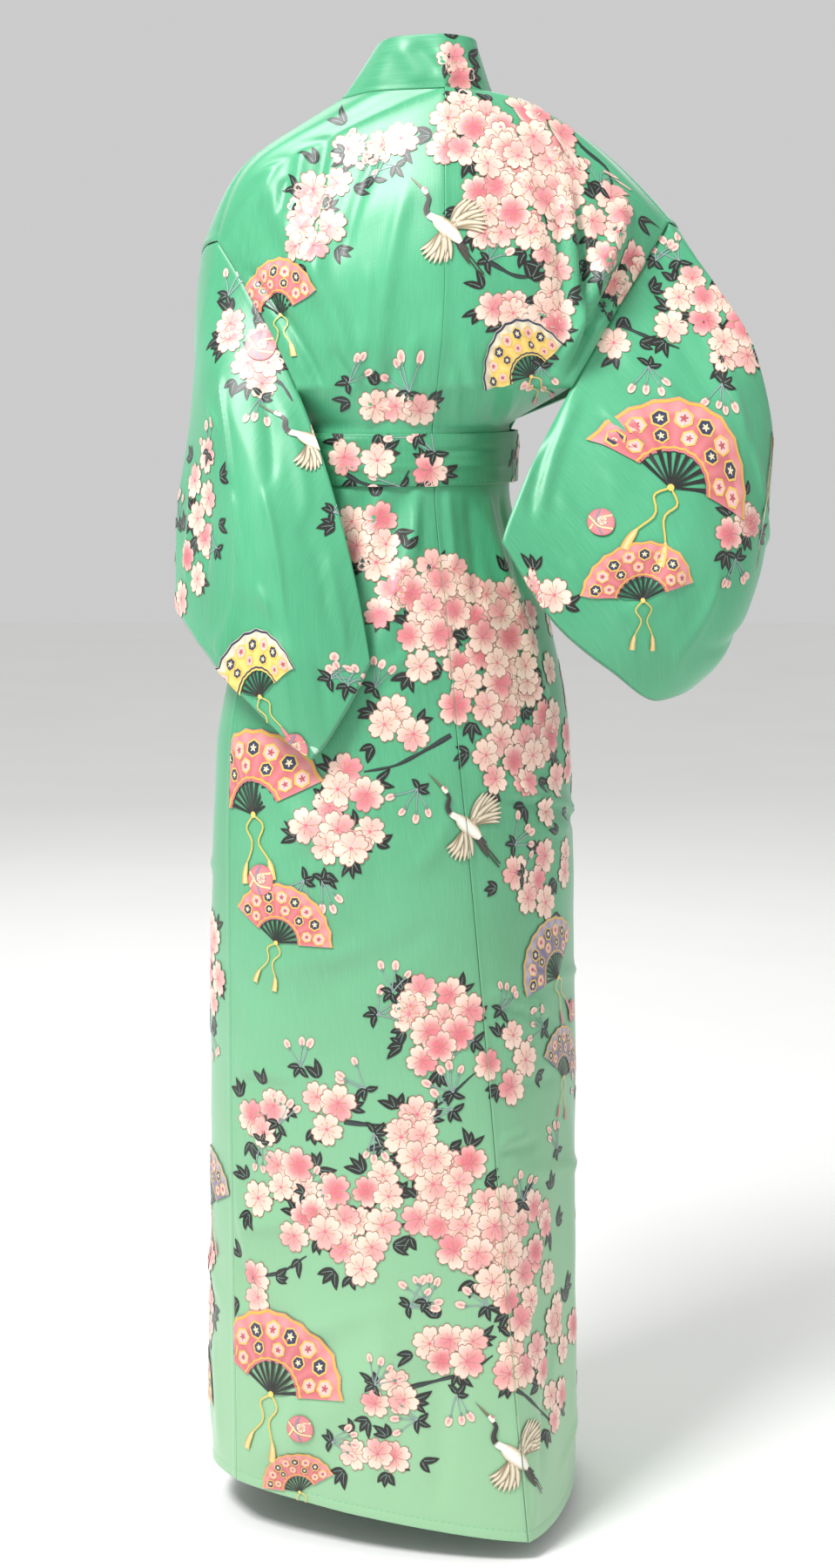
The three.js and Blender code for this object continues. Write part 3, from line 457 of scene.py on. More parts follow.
def panelGrid(pointAt, first, last, levels, columns):
    share = first[:, None] + (last - first)[:, None] * np.linspace(0, 1, 141)
    run = lengths(pointAt(levels[:, None], share))
    wanted = fineColumns(columns)
    place = np.stack([np.interp(wanted * r[-1], r, s) for r, s in zip(run, share)])
    return pointAt(levels[:, None], place), place, run[:, -1:] * wanted


def makeBack(side):
    name = f"back_{side}"
    levels = bodyLevels
    one = np.ones(len(levels))
    base, share, across = panelGrid(lambda v, s: bodyPoint(side, "back", v, s), 0 * one, one,
                                    levels, fineness["back"])
    v = levels[:, None] + 0 * share
    inside = smooth(share * 8) * smooth((1 - share) * 8) * smooth((robe["ridgeLevel"] - v) / 60)
    high = largeFolds(name, share, v) * inside
    soft = crease["seenBack"] * bendSeen(name, base, across, v)
    soft = soft + crease["unevenBack"] * unevenness(across, v, crease["unevenSize"], 3 + len(name))
    high = high + soft * awayFromSeams(across, v)
    # at the centre back the right panel is turned over the left one, in a narrow welt
    welt = 1.0 * np.exp(-(across / 4.5) ** 2) if side == "right" else -0.3 * np.exp(-(across / 2) ** 2)
    high = high + welt * smooth((10 - v) / 10)
    high = high + seamWelt(across[:, -1:] - across) * smooth((robe["ridgeLevel"] - v) / 8) + hemHeight(v)
    setPanel(name, base, across, levels, sideOf(base, formMiddle), high)


def makeFront(side, name, first, last, levels, columns):
    base, share, across = panelGrid(lambda v, s: frontPoint(side, v, s), first, last, levels, columns)
    v = levels[:, None] + 0 * share
    inside = smooth((1 - share) * 8) * smooth((share + 0.1) * 6) * smooth((robe["ridgeLevel"] - v) / 60)
    high = frontLift(side, v, share) + largeFolds(name, share, v) * inside
    soft = bell(across, v, hiddenCreases.get(name, []))
    soft = soft + crease["unevenFront"] * unevenness(across, v, crease["unevenSize"], 11 + len(name))
    high = high + soft * awayFromSeams(across, v)
    high = high + seamWelt(across) * smooth((robe["ridgeLevel"] - v) / 8) + hemHeight(v)
    high = high + seamWelt(across[:, -1:] - across, 0.7)
    setPanel(name, base, across, levels, sideOf(base, formMiddle), high)


makeBack("left")
makeBack("right")
for side in ("left", "right"):
    one = np.ones(len(bodyLevels))
    makeFront(side, f"front_{side}", one, seamShare(side, bodyLevels), bodyLevels, fineness["front"])
    low = bodyLevels[bodyLevels < overlapTop - 4]
    makeFront(side, f"overlap_{side}", seamShare(side, low), edgeShare(side, low), low, fineness["overlap"])


def makeSleeve(side):
    # rings round the sleeve: down the back layer from the top fold and up the front layer to it again
    u = np.linspace(0, 1, fineness["sleeve"])[:, None]
    ring = np.linspace(0, 2, fineness["sleeveRound"] + 1)[None, :-1]
    s = np.where(ring <= 1, ring, 2 - ring)
    fine = np.linspace(0, 1, 400)
    layer = np.where(ring <= 1, 1, -1)
    # even steps down the depth, from the length of a finer line down the back layer
    run = lengths(sleevePoint(side, u, fine[None, :], 1))
    down = np.stack([np.interp(s[0] * r[-1], r, fine) for r in run])
    base = sleevePoint(side, u, down, layer + 0 * u)
    outward = sideOf(base, base[..., :2].mean((0, 1)))
    across = run[:, -1:] * np.where(ring <= 1, s, 2 - s)
    walk = np.linalg.norm(np.diff(base, axis=0), axis=2).cumsum(0)
    q = -np.concatenate([0 * walk[:1], walk])
    back = np.where(ring <= 1, 1.0, 0.0) + 0 * u
    edge = smooth(u * 10 + np.where(s > armholeShare, 1, 0)) * smooth(s * 14)
    seen = bendSeen(f"sleeve_{side}", np.where(back[..., None] > 0, base, 1e5), across, q) * back
    hidden = crease["hiddenSleeve"] * unevenness(across * 0.6 + 30, q, 42, 21) * (1 - back)
    high = crease["seenSleeve"] * seen + hidden + crease["unevenSleeve"] * unevenness(across, q, 38, 5)
    high = high * edge * smooth((1 - s) * 7)
    high = high - 1.2 * np.exp(-(q / 1.6) ** 2) * np.where(s < armholeShare, 1, 0)
    cuff = q[-1:] - q
    high = high - 0.6 * np.exp(-((cuff + 10) / 2.2) ** 2)
    setPanel(f"sleeve_{side}", base, across, q, outward, high)


makeSleeve("left")
makeSleeve("right")
print("panels worked out")

bandStands = [(-175, 0.93, 0.12, 0.36), (-110, 0.84, 0.2, 0.52), (-50, 0.7, 0.16, 0.7),
              (0, 0.52, 0.08, 0.85), (60, 0.3, 0, 0.95)]      # level, inward, forward, up
band = {
    "width": 54, "low": -640, "lift": 0.9, "thick": 2.2, "middle": 34, "quarter": 1.42,
    "wrapRaise": 0.36, "swell": {"left": 3.4, "right": -1.2}, "swellLevel": -312, "swellHeight": 15,
    "leftEase": 1.4, "leftLean": 0.25, "underLean": 0.34, "napeLeft": 0.55, "napeRise": 0.95,
    "napeLean": -0.12,
}


def bandFront(side, v, w):
    # below the crossing the band lies on the wrapped form, and above it stands from the neck seam
    sign = 1 if side == "left" else -1
    lift = band["lift"] + 0 * v
    if side == "left":
        lift = lift + robe["layerLift"] * smooth((robe["ridgeLevel"] - 20 - v) / 150)
    share = edgeShare(side, v)
    raised = band["wrapRaise"] * band["width"] * smooth((v - robe["beltTop"]) / 100)
    swell = band["swell"][side] * np.exp(-((v - band["swellLevel"]) / band["swellHeight"]) ** 2)
    ease = swell + (band["leftEase"] if side == "left" else 0)
    inner, outer, *_ = bodyRow("right" if side == "left" else "left", "front", v)
    wide = band["width"] / (band["quarter"] * np.abs(outer[..., 0] - inner[..., 0]))
    p = frontPoint(side, v + w * raised, share - w * wide)
    away = np.stack([p[..., 0] - band["middle"], p[..., 1], 0 * v], -1)
    away /= np.linalg.norm(away, axis=-1, keepdims=True)
    low = p + away * (lift + ease * np.sin(np.pi * w * 0.5))[..., None]
    stand = along(bandStands, v)
    inward = stand[..., 1] + (band["leftLean"] * smooth((v + 60) / 120) if side == "left" else 0)
    forward = stand[..., 2] if side == "left" else -band["underLean"] * smooth((-v - 20) / 60)
    seam = frontPoint(side, v, share)
    step = w * band["width"]
    high = seam + np.stack([-sign * step * inward, -step * forward - lift, step * stand[..., 3]], -1)
    return mix(low, high, smooth((v + 186) / 34)[..., None])


def bandNape(side, v, w):
    turn = smooth(v / robe["ridgeLevel"])
    sign = 1 if side == "left" else -1
    lean = (band["napeLeft"] if side == "left" else bandStands[-1][1]) * turn
    step = w * band["width"]
    rise = band["napeRise"] * step
    return bodyPoint(side, "back", v, 0 * v) + np.stack(
        [-sign * step * lean, step * band["napeLean"] * (1 - turn), rise], -1)


def makeBand():
    # stations up the left front, round the nape and down the right front
    front = np.concatenate([np.arange(band["low"], -60, 5.5), np.linspace(-60, 60, 34)])
    nape = np.linspace(60, 0, 26)[1:]
    w = np.concatenate([[0, 0.03, 0.07], np.linspace(0.12, 0.9, 13), [0.95, 0.98, 1]])[None, :]
    rows = [bandFront("left", *np.broadcast_arrays(front[:, None], w)),
            bandNape("left", *np.broadcast_arrays(nape[:, None], w)),
            bandNape("right", *np.broadcast_arrays(nape[::-1][1:, None], w)),
            bandFront("right", *np.broadcast_arrays(front[::-1][:, None], w))]
    base = np.concatenate(rows)
    # the free edge bends evenly where the seam turns over the shoulders
    for _ in range(26):
        even = base.copy()
        even[1:-1] = (base[:-2] + 2 * base[1:-1] + base[2:]) / 4
        base = mix(base, even, w[0][:, None])
    run = np.concatenate([[0], np.linalg.norm(np.diff(base[:, 9], axis=0), axis=1).cumsum()])
    nearNape = run[len(rows[0]) + len(rows[1])]
    q = run[:, None] + 0 * w
    x = w * band["width"] + 0 * q
    # the fold that the right of the neck shows, soft drags round the nape, and a worn ripple elsewhere
    folds = [
        (8, nearNape + 26, 50, nearNape + 14, 2.4, 5, 2),
        (4, nearNape - 22, 46, nearNape - 52, 2.2, 7, 3),
        (14, nearNape - 6, 44, nearNape - 34, -1.8, 6, 3),
        (2, nearNape + 4, 40, nearNape - 10, 1.6, 6, 2),
    ]
    soft = smooth(x / 10) * smooth((band["width"] - x) / 8)
    high = (bell(x, q, folds) + 0.7 * unevenness(x + 9, q, 24, 31)) * soft
    high = high - 0.5 * np.exp(-((x - 5) / 1.4) ** 2)
    outward = 1 if normalsOf(base, 1)[len(rows[0]) + len(rows[1]), 9, 1] > 0 else -1
    setPanel("collar", base, x, q, outward, high + band["thick"] / 2 - robe["shell"] / 2)


makeBand()

beltForm = {"thick": 2.2, "back": 2.6, "front": 10.4, "left": 4.6, "right": 10.4, "quarter": 62}


def makeBelt():
    # a ring of stations a little off the form, with the pressed creases of a belt that is folded double
    stations = []
    for side, face in (("left", "back"), ("left", "front"), ("right", "front"), ("right", "back")):
        outwards = (side == "left") == (face == "back")
        k = np.arange(beltForm["quarter"]) / beltForm["quarter"]
        stations.append((side, face, k if outwards else 1 - k))
    t = np.concatenate([[0, 0.02, 0.05], np.linspace(0.09, 0.91, 19), [0.95, 0.98, 1]])[:, None]
    v = mix(robe["beltBottom"], robe["beltTop"], t)
    quarters = []
    for side, face, share in stations:
        share, level = np.broadcast_arrays(share[None, :], v)
        base = bodyPoint(side, face, level, share)
        centre = bodyRow(side, face, level)[3]
        near = smooth(share * 2 - 1) if face == "back" else smooth(share * 5 - 4)
        rise = mix(beltForm[face], beltForm[side], near)
        out = np.stack([base[..., 0] - centre[..., 0], base[..., 1] - centre[..., 1], 0 * level], -1)
        quarters.append(base + out / np.linalg.norm(out, axis=-1, keepdims=True) * rise[..., None])
    base = np.concatenate(quarters, axis=1)
    x = lengths(base)
    y = v + 0 * x
    folds = [
        (20, -352, 150, -349, -1.4, 2.4, 1), (0, -366, 120, -368, 1.3, 3, 1),
        (60, -340, 200, -344, 0.9, 2.6, 1), (580, -350, 700, -353, -1.4, 2.4, 1),
        (560, -368, 690, -364, 1.2, 3, 1), (200, -358, 380, -352, 1.2, 3, 2),
        (250, -372, 430, -368, -1.2, 3, 1), (400, -345, 560, -352, 1.1, 3, 2),
    ]
    high = bell(x, y, folds) + 0.5 * unevenness(x, y, 22, 41)
    edge = np.minimum(t, 1 - t) * (robe["beltTop"] - robe["beltBottom"])
    high = high * smooth(edge / 5) - 0.5 * np.exp(-((edge - 3) / 1) ** 2) - 0.6 * np.exp(-(edge / 1.2) ** 2)
    setPanel("belt", base, x, y, sideOf(base, (36, 0)), high + beltForm["thick"] / 2 - robe["shell"] / 2)


makeBelt()

knotForm = {"across": 26, "up": 27, "thick": 6, "share": -0.02, "lift": 14.9, "bulge": 8, "pinch": 0.18}
endForm = {"left": (0.1, 250, 0.05), "right": (-0.14, 285, -0.06), "half": 23, "gather": 0.3, "top": -387.3,
           "low": 9.5, "knot": 15}
acrossShare = 0.72            # share of a row that its half width takes, near its middle


def makeKnot():
    # a crowned square, pinched at the waist, with the belt's folds turning over it
    t, w = np.meshgrid(np.linspace(0, 1, 40), np.linspace(0, 1, 40), indexing="ij")
    middle = (robe["beltTop"] + robe["beltBottom"]) / 2
    v = middle + (2 * t - 1) * knotForm["up"]
    reach = bodyRow("left", "front", middle + 0 * t)[1][..., 0]
    half = knotForm["across"] * acrossShare * (1 - knotForm["pinch"] * (1 - (2 * t - 1) ** 2)) / reach
    base = frontPoint("left", v, knotForm["share"] + half * (2 * w - 1))
    crown = (1 - (2 * t - 1) ** 4) * (1 - (2 * w - 1) ** 4)
    x, y = w * 2 * knotForm["across"], t * 2 * knotForm["up"]
    folds = [
        (4, 8, 40, 50, -2.6, 3.4, 3), (14, 4, 50, 40, 2.2, 3.4, 2), (26, 3, 50, 20, -2, 3, 2),
        (2, 30, 20, 52, 2, 3.4, 2),
    ]
    high = knotForm["lift"] + knotForm["bulge"] * crown + bell(x, y, folds) * crown + knotForm["thick"] / 2
    setPanel("belt_knot", base, x, y, sideOf(base, (36, 0)), high)


def makeEnd(side):
    share, long, spread = endForm[side]
    t, w = np.meshgrid(np.linspace(0, 1, 64), np.linspace(0, 1, 15), indexing="ij")
    v = endForm["top"] - long * (1 - t)
    reach = bodyRow("left", "front", v)[1][..., 0]
    half = endForm["half"] * (1 - endForm["gather"] * smooth(t * 3 - 2)) * acrossShare / reach
    base = frontPoint("left", v, share + spread * (1 - t) + half * (2 * w - 1))
    x, y = w * 2 * endForm["half"], v
    folds = [
        (10, v.max(), 16, v.max() - 90, 2, 4, 3), (30, v.max(), 26, v.max() - 120, -2, 4, 3),
        (22, v.min() + 20, 24, v.min() + 120, 1.4, 5, 4),
    ]
    high = mix(endForm["low"], endForm["knot"], smooth(t * 6 - 5)) + bell(x, y, folds)
    high = high + 0.5 * unevenness(x, y, 20, 51)
    setPanel(f"belt_end_{side}", base, x, y, sideOf(base, (36, 0)), high)


makeKnot()
makeEnd("left")
makeEnd("right")
print("band and belt worked out")


def linear(hexColour):
    # sRGB hex to the linear values that a shader works in
    c = np.array([int(hexColour[k:k + 2], 16) for k in (1, 3, 5)]) / 255
    return tuple(np.where(c <= 0.04045, c / 12.92, ((c + 0.055) / 1.055) ** 2.4)) + (1,)


def addNode(material, kind, inputs=None, **settings):
    # one node with its settings, its values and its links
    made = material.node_tree.nodes.new("ShaderNode" + kind)
    for name, value in settings.items():
        setattr(made, name, value)
    for name, value in (inputs or {}).items():
        if isinstance(value, bpy.types.NodeSocket):
            material.node_tree.links.new(value, made.inputs[name])
        else:
            made.inputs[name].default_value = value
    return made


# The ground's colour where a yarn is thick and in its two cloudy tones, and the paler, greyer green that the
# cloth is drawn in towards the hem
dyes = {
    "face": {"light": "#68C297", "mid": "#4FAF80", "deep": "#3F9A6D", "low": "#9CC79C", "roughness": 0.43},
    "reverse": {"light": "#D4EEDD", "mid": "#BFE3CD", "deep": "#A5D3BA", "low": "#CFE8D6", "roughness": 0.62},
    "belt": {"light": "#55B586", "mid": "#429F70", "deep": "#348A5E", "low": "#429F70", "roughness": 0.42},
}
sateen = {
    "sheen": 0.34, "sheenRoughness": 0.35, "gloss": 0.72,
    "threadWidth": 1.3,         # mm; the real threads are 0.3 mm and are drawn wider to show at all
    "threadLength": 26,         # mm over which a thread keeps its thickness
    "cloudSize": 150,           # mm across the soft changes of colour
    "slubDepth": 0.05,          # mm
}


def newMaterial(name):
    material = bpy.data.materials.new(name)
    material.use_nodes = True
    material.node_tree.nodes.clear()
    return material


def threadBump(material):
    # satin floats run down the cloth: noise drawn out along them stands for the slubs of the yarn
    place = addNode(material, "UVMap", uv_map="cut")
    stretched = addNode(material, "Mapping", {"Vector": place.outputs["UV"], "Scale": (
        1 / (sateen["threadWidth"] * mm), 1 / (sateen["threadLength"] * mm), 1)})
    slubs = addNode(material, "TexNoise", {
        "Vector": stretched.outputs["Vector"], "Scale": 1.0, "Detail": 2.0})
    wefts = addNode(material, "Mapping", {"Vector": place.outputs["UV"], "Scale": (
        1 / (sateen["threadLength"] * mm), 1 / (sateen["threadWidth"] * 1.6 * mm), 1)})
    weft = addNode(material, "TexNoise", {"Vector": wefts.outputs["Vector"], "Scale": 1.0, "Detail": 1.0})
    both = addNode(material, "Math", {0: slubs.outputs["Fac"], 1: weft.outputs["Fac"]}, operation="ADD")
    bump = addNode(material, "Bump", {"Height": both.outputs["Value"], "Strength": 0.55,
                                      "Distance": sateen["slubDepth"] * mm * 2})
    return slubs.outputs["Fac"], bump.outputs["Normal"]


def finishMaterial(material, colour, normal, roughness, sheen=sateen["sheen"]):
    shader = addNode(material, "BsdfPrincipled", {
        "Base Color": colour, "Roughness": roughness, "IOR": 1.5, "Normal": normal,
        "Sheen Weight": sheen, "Sheen Roughness": sateen["sheenRoughness"],
        "Specular IOR Level": sateen["gloss"]})
    addNode(material, "OutputMaterial", {"Surface": shader.outputs["BSDF"]})
    return material


def blendColours(material, factor, a, b):
    made = addNode(material, "Mix", {0: factor}, data_type="RGBA")
    for socket, value in ((made.inputs[6], a), (made.inputs[7], b)):
        if isinstance(value, bpy.types.NodeSocket):
            material.node_tree.links.new(value, socket)
        else:
            socket.default_value = value
    return made.outputs[2]


def sateenMaterial(name):
    # Cotton sateen, woven with long warp floats, calendered and then printed: the floats give a soft, broad
    # gloss, and the ground's dye is a little cloudy, with faint streaks where a yarn is thicker
    dye = dyes[name]
    material = newMaterial("cottonSateen" + name.capitalize())
    slub, normal = threadBump(material)
    place = addNode(material, "TexCoord").outputs["Object"]
    cloud = addNode(material, "TexNoise", {
        "Vector": place, "Scale": 1 / (sateen["cloudSize"] * mm), "Detail": 2.0})
    tone = addNode(material, "MapRange", {"Value": cloud.outputs["Fac"], "From Min": 0.3, "From Max": 0.7})
    ground = blendColours(material, tone.outputs["Result"], linear(dye["deep"]), linear(dye["mid"]))
    streak = addNode(material, "MapRange", {"Value": slub, "From Min": 0.45, "From Max": 0.8, "To Max": 0.35})
    streaked = blendColours(material, streak.outputs["Result"], ground, linear(dye["light"]))
    # from half a metre below the neck down to the hem the colour is drawn paler and greyer
    level = addNode(material, "SeparateXYZ", {"Vector": place}).outputs["Z"]
    low = addNode(material, "MapRange", {"Value": level, "From Min": -0.5, "From Max": -1.4, "To Max": 0.85},
                  interpolation_type="SMOOTHSTEP")
    colour = blendColours(material, low.outputs["Result"], streaked, linear(dye["low"]))
    return finishMaterial(material, colour, normal, dye["roughness"])


def inkMaterial():
    # Pigment print, screened on the sateen: its colours lie on the threads, so the slubs and the gloss of
    # the cloth come through, a little duller than the bare ground
    material = newMaterial("pigmentPrintOnSateen")
    slub, normal = threadBump(material)
    ink = addNode(material, "Attribute", attribute_name="inkColour").outputs["Color"]
    faded = addNode(material, "MapRange", {"Value": slub, "From Min": 0.5, "From Max": 0.9, "To Max": 0.04})
    colour = blendColours(material, faded.outputs["Result"], ink, linear("#CFC6B8"))
    return finishMaterial(material, colour, normal, 0.46)


cloth = {name: sateenMaterial(name) for name in dyes}
cloth["ink"] = inkMaterial()
# Sewing thread: spun polyester, dyed to the ground, with a dull round shine; along the twist its colour
# swings between a painted shade and a painted highlight of the ground's green
threadMaterial = newMaterial("spunPolyesterThread")
twist = addNode(threadMaterial, "TexNoise", {
    "Vector": addNode(threadMaterial, "TexCoord").outputs["Object"], "Scale": 900.0, "Detail": 1.0})
twistBump = addNode(threadMaterial, "Bump", {"Height": twist.outputs["Fac"], "Distance": 0.0001})
# painted shade and highlight: the twist's noise runs the thread from the cloth's shaded green to its highlit
# green
threadDyeAndPaintedShade = blendColours(threadMaterial, twist.outputs["Fac"], linear("#2F8F66"), linear("#7FD0A6"))
finishMaterial(threadMaterial, threadDyeAndPaintedShade, twistBump.outputs["Normal"], 0.55)


def newMesh(name, points, faces, materials, uv, uvName="cut"):
    # points in millimetres, faces as rows of corner numbers, uv one pair for each point
    mesh = bpy.data.meshes.new(name)
    mesh.vertices.add(len(points))
    mesh.vertices.foreach_set("co", (points * mm).astype(np.float32).ravel())
    mesh.loops.add(faces.size)
    mesh.loops.foreach_set("vertex_index", faces.astype(np.int32).ravel())
    mesh.polygons.add(len(faces))
    corners = faces.shape[1]
    mesh.polygons.foreach_set("loop_start", np.arange(0, faces.size, corners, dtype=np.int32))
    mesh.polygons.foreach_set("loop_total", np.full(len(faces), corners, dtype=np.int32))
    mesh.polygons.foreach_set("use_smooth", np.ones(len(faces), bool))
    mesh.update(calc_edges=True)
    layer = mesh.uv_layers.new(name=uvName)
    layer.data.foreach_set("uv", uv[faces.ravel()].astype(np.float32).ravel())
    for material in materials:
        mesh.materials.append(material)
    made = bpy.data.objects.new(name, mesh)
    bpy.context.scene.collection.objects.link(made)
    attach(made, "root")
    return made


def gridFaces(rows, columns, outward, closed=False):
    # corner numbers of a grid's faces, wound so that they face outwards
    last = columns if closed else columns - 1
    i, j = np.meshgrid(np.arange(rows - 1), np.arange(last), indexing="ij")
    k = (j + 1) % columns
    quads = np.stack([i * columns + j, i * columns + k, (i + 1) * columns + k, (i + 1) * columns + j], -1)
    quads = quads.reshape(-1, 4)
    return quads if outward > 0 else quads[:, ::-1]


def turnedOut(points, normal, faces):
    # faces that would face inwards are turned round; also returns twice the area of each
    corner = points[faces]
    n = np.cross(corner[:, 2] - corner[:, 0], corner[:, 3] - corner[:, 1])
    inward = (n * normal[faces[:, 0]]).sum(1) < 0
    faces[inward] = faces[inward][:, ::-1]
    return faces, np.linalg.norm(n, axis=1)


def isRing(name):
    return name.startswith("sleeve") or name == "belt"


def slotOf(name):
    return "belt" if name.startswith("belt") else "collar" if name == "collar" else "sateen"


# The solids that some panels are parted in
solids = {
    "back": "{0}_lower {0}_middle {0}_upper", "front": "{0}_lower {0}_middle {0}_upper",
    "overlap": "{0}_lower {0}_middle {0}_hip {0}_upper", "collar": "collar_left collar_nape collar_right",
}
# Thickness of what is folded double; all else is one layer
shown = {"belt": beltForm["thick"], "belt_knot": 5.0, "collar": band["thick"]}


def addShell(name):
    panel = panels[name]
    points = panel["points"]
    rows, columns = points.shape[:2]
    levels = panel["levels"]
    level = levels[:, None] + 0 * panel["across"] if levels.ndim == 1 else levels
    uv = np.stack([panel["across"], level], -1).reshape(-1, 2) * mm
    faces = gridFaces(rows, columns, panel["outward"], isRing(name))
    slot = slotOf(name)
    front = cloth["belt"] if slot == "belt" else cloth["face"]
    reverse = cloth["reverse"] if slot == "sateen" else front
    shell = newMesh(f"{name}_cloth", points.reshape(-1, 3), faces, [front, reverse], uv)
    wall = shell.modifiers.new("layer", "SOLIDIFY")
    wall.thickness = shown.get(name, robe["shell"]) * mm
    wall.offset = -1
    wall.material_offset = 1
    wall.material_offset_rim = 0
    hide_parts(*solids.get(name.split("_")[0], "{0}").format(name).split())
    return shell


shells = {name: addShell(name) for name in panels}
print("shells made")


# The print. Each ink has stops of colour; a motif's points say which ink and how far along its stops
inks = {
    "petal": ["#94604C", "#F8E0CE", "#F4CFBE", "#F0AEA9", "#E98C94", "#E26F7D"],
    "dark": ["#0C0B08", "#140F0B", "#101A1B", "#172527", "#203334", "#3C554F"],
    "stalk": ["#5F7F72", "#7B9A8C", "#93AF9F", "#9FA3B4", "#B7C7B6", "#DCE5D2"],
    "feather": ["#FBF8EF", "#F1EADB", "#D9C9A8", "#B79A6E", "#5B5348", "#1D1C1B"],
    "coral": ["#B9525A", "#CF6C72", "#DE8287", "#E79A9A", "#F0B3AF", "#F7D0C8"],
    "gold": ["#A9782B", "#E0AE45", "#F2CF6B", "#F3E6C6", "#3C4468", "#232B4C"],
    "violet": ["#3B3848", "#5C5070", "#8A7B99", "#A79CB0", "#C9C2CC", "#E6E0DC"],
}
inkNames = list(inks)
inkTable = np.array([[linear(c)[:3] for c in inks[name]] for name in inkNames])


def inkColour(family, tone):
    # straight from stop to stop of each ink
    place = np.clip(tone, 0, 1) * 5
    i = np.minimum(place.astype(int), 4)
    t = (place - i)[:, None]
    return inkTable[family, i] * (1 - t) + inkTable[family, i + 1] * t


def motif(xy, faces, ink, tone, ab):
    # a part of a motif: points in millimetres, faces, ink, tone, two shares that tell its points apart, and
    # its rise over the parts below it
    count = len(xy)
    return {"xy": xy, "faces": faces, "ink": np.full(count, inkNames.index(ink)), "ab": ab,
            "tone": np.broadcast_to(np.asarray(tone, float), (count,)).copy(), "rise": np.zeros(count)}


def over(part, rise):
    return {**part, "rise": part["rise"] + rise}


def joined(parts):
    shift = np.cumsum([0] + [len(p["xy"]) for p in parts])
    made = {key: np.concatenate([p[key] for p in parts]) for key in ("xy", "ink", "tone", "ab", "rise")}
    made["faces"] = np.concatenate([p["faces"] + s for p, s in zip(parts, shift)])
    return made


def moved(part, dx=0.0, dy=0.0, degrees=0.0, scale=1.0):
    a = np.radians(degrees)
    turn = np.array([[np.cos(a), np.sin(a)], [-np.sin(a), np.cos(a)]]) * scale
    return {**part, "xy": part["xy"] @ turn + np.array([dx, dy])}


def polarPatch(angles, radii, ink, tone, centre=(0, 0)):
    # a patch between angles, whose rings have the given radii (one row for each ring)
    angles, radii = np.broadcast_arrays(angles, radii)
    rows, columns = radii.shape
    xy = np.stack([radii * np.cos(angles), radii * np.sin(angles)], -1).reshape(-1, 2) + np.array(centre)
    a, b = np.meshgrid(np.linspace(0, 1, rows), np.linspace(0, 1, columns), indexing="ij")
    return motif(xy, gridFaces(rows, columns, -1), ink, np.broadcast_to(tone, radii.shape).ravel(),
                 np.stack([a, b], -1).reshape(-1, 2))


def blade(line, width, ink, tone=0.5, across=3):
    # a strip along a line of points, width given along it; tones may change across it
    line = np.asarray(line, float)
    step = np.gradient(line, axis=0)
    side = np.stack([-step[:, 1], step[:, 0]], -1)
    side /= np.maximum(np.linalg.norm(step, axis=1, keepdims=True), 1e-6)
    w = np.linspace(-0.5, 0.5, across)
    xy = line[:, None] + side[:, None] * (np.maximum(width, 0.12)[:, None] * w)[..., None]
    a, b = np.meshgrid(np.linspace(0, 1, len(line)), np.linspace(0, 1, across), indexing="ij")
    tones = np.broadcast_to(np.asarray(tone, float), (len(line), across)).ravel()
    return motif(xy.reshape(-1, 2), gridFaces(len(line), across, -1), ink, tones,
                 np.stack([a, b], -1).reshape(-1, 2))


def curve(points, count):
    # a smooth line through a few points, each coordinate by the same cubic as the tables
    points = np.asarray(points, float)
    at = np.linspace(0, len(points) - 1, count)
    return along(np.column_stack([np.arange(len(points)), points]), at)[:, 1:]


def turnIn(count):
    # angles of a whole turn
    return np.linspace(0, 2 * np.pi, count)[None, :]


def rings(*shares):
    return np.array(shares)[:, None]


def petalBlossom(radius, blush, blushAt):
    # five petals: the rim is full in the middle of a petal, drawn in to its neighbours and notched at the
    # tip; pink spreads from one place and the rim and the sides have a brown line
    local = np.radians([-35.5, -32, -22, -11, -4.5, 0, 4.5, 11, 22, 32, 35.5])
    degrees = np.degrees(local)
    rim = radius * (0.99 - 0.36 * np.abs(degrees / 36) ** 3.4 - 0.13 * np.exp(-(degrees / 5.2) ** 2))
    shares = rings(0.05, 0.5, 0.92, 0.955, 1.0)
    parts = []
    for k in range(5):
        angles = local + np.radians(72 * k + 90)
        r = shares * rim
        x, y = r * np.cos(angles), r * np.sin(angles)
        pink = blush * smooth(1.25 - np.hypot(x - blushAt[0], y - blushAt[1]) / (0.95 * radius))
        tone = 0.22 + 0.16 * (1 - shares) + 0.6 * pink
        tone = np.where(shares > 0.95, 0.02, tone)
        sides = (np.abs(degrees) > 34)[None, :] & (shares > 0.3)
        tone = np.where(sides, 0.09, tone)
        parts.append(polarPatch(angles[None, :], r, "petal", tone))
    parts.append(over(polarPatch(turnIn(8), rings(0.02, 0.1) * radius, "petal", 0.95), 0.08))
    for k in range(7):
        a = np.radians(51.4 * k + 20)
        reach = radius * (0.36 + 0.08 * (k % 2))
        line = np.outer(np.linspace(0.08 * radius, reach, 2), [np.cos(a), np.sin(a)])
        parts.append(over(blade(line, np.full(2, 0.4), "petal", 0.03, 2), 0.06))
        dot = np.outer([reach, reach + 1.3], [np.cos(a), np.sin(a)])
        parts.append(over(blade(dot, np.full(2, 1.2), "gold", 0.12, 2), 0.08))
    return joined(parts)


def leaf(length=19.0, width=8.5):
    # a pointed leaf with a pale midrib
    t = np.linspace(0, 1, 8)
    line = np.stack([1.2 * np.sin(np.pi * t), t * length], -1)
    one = blade(line, width * np.sin(np.pi * t ** 0.72) ** 0.8, "dark", [0.06, 0.14, 0.02, 0.1], 4)
    rib = blade(line[1:6], np.linspace(0.9, 0.4, 5), "stalk", 0.06, 2)
    return joined([one, over(rib, 0.06)])


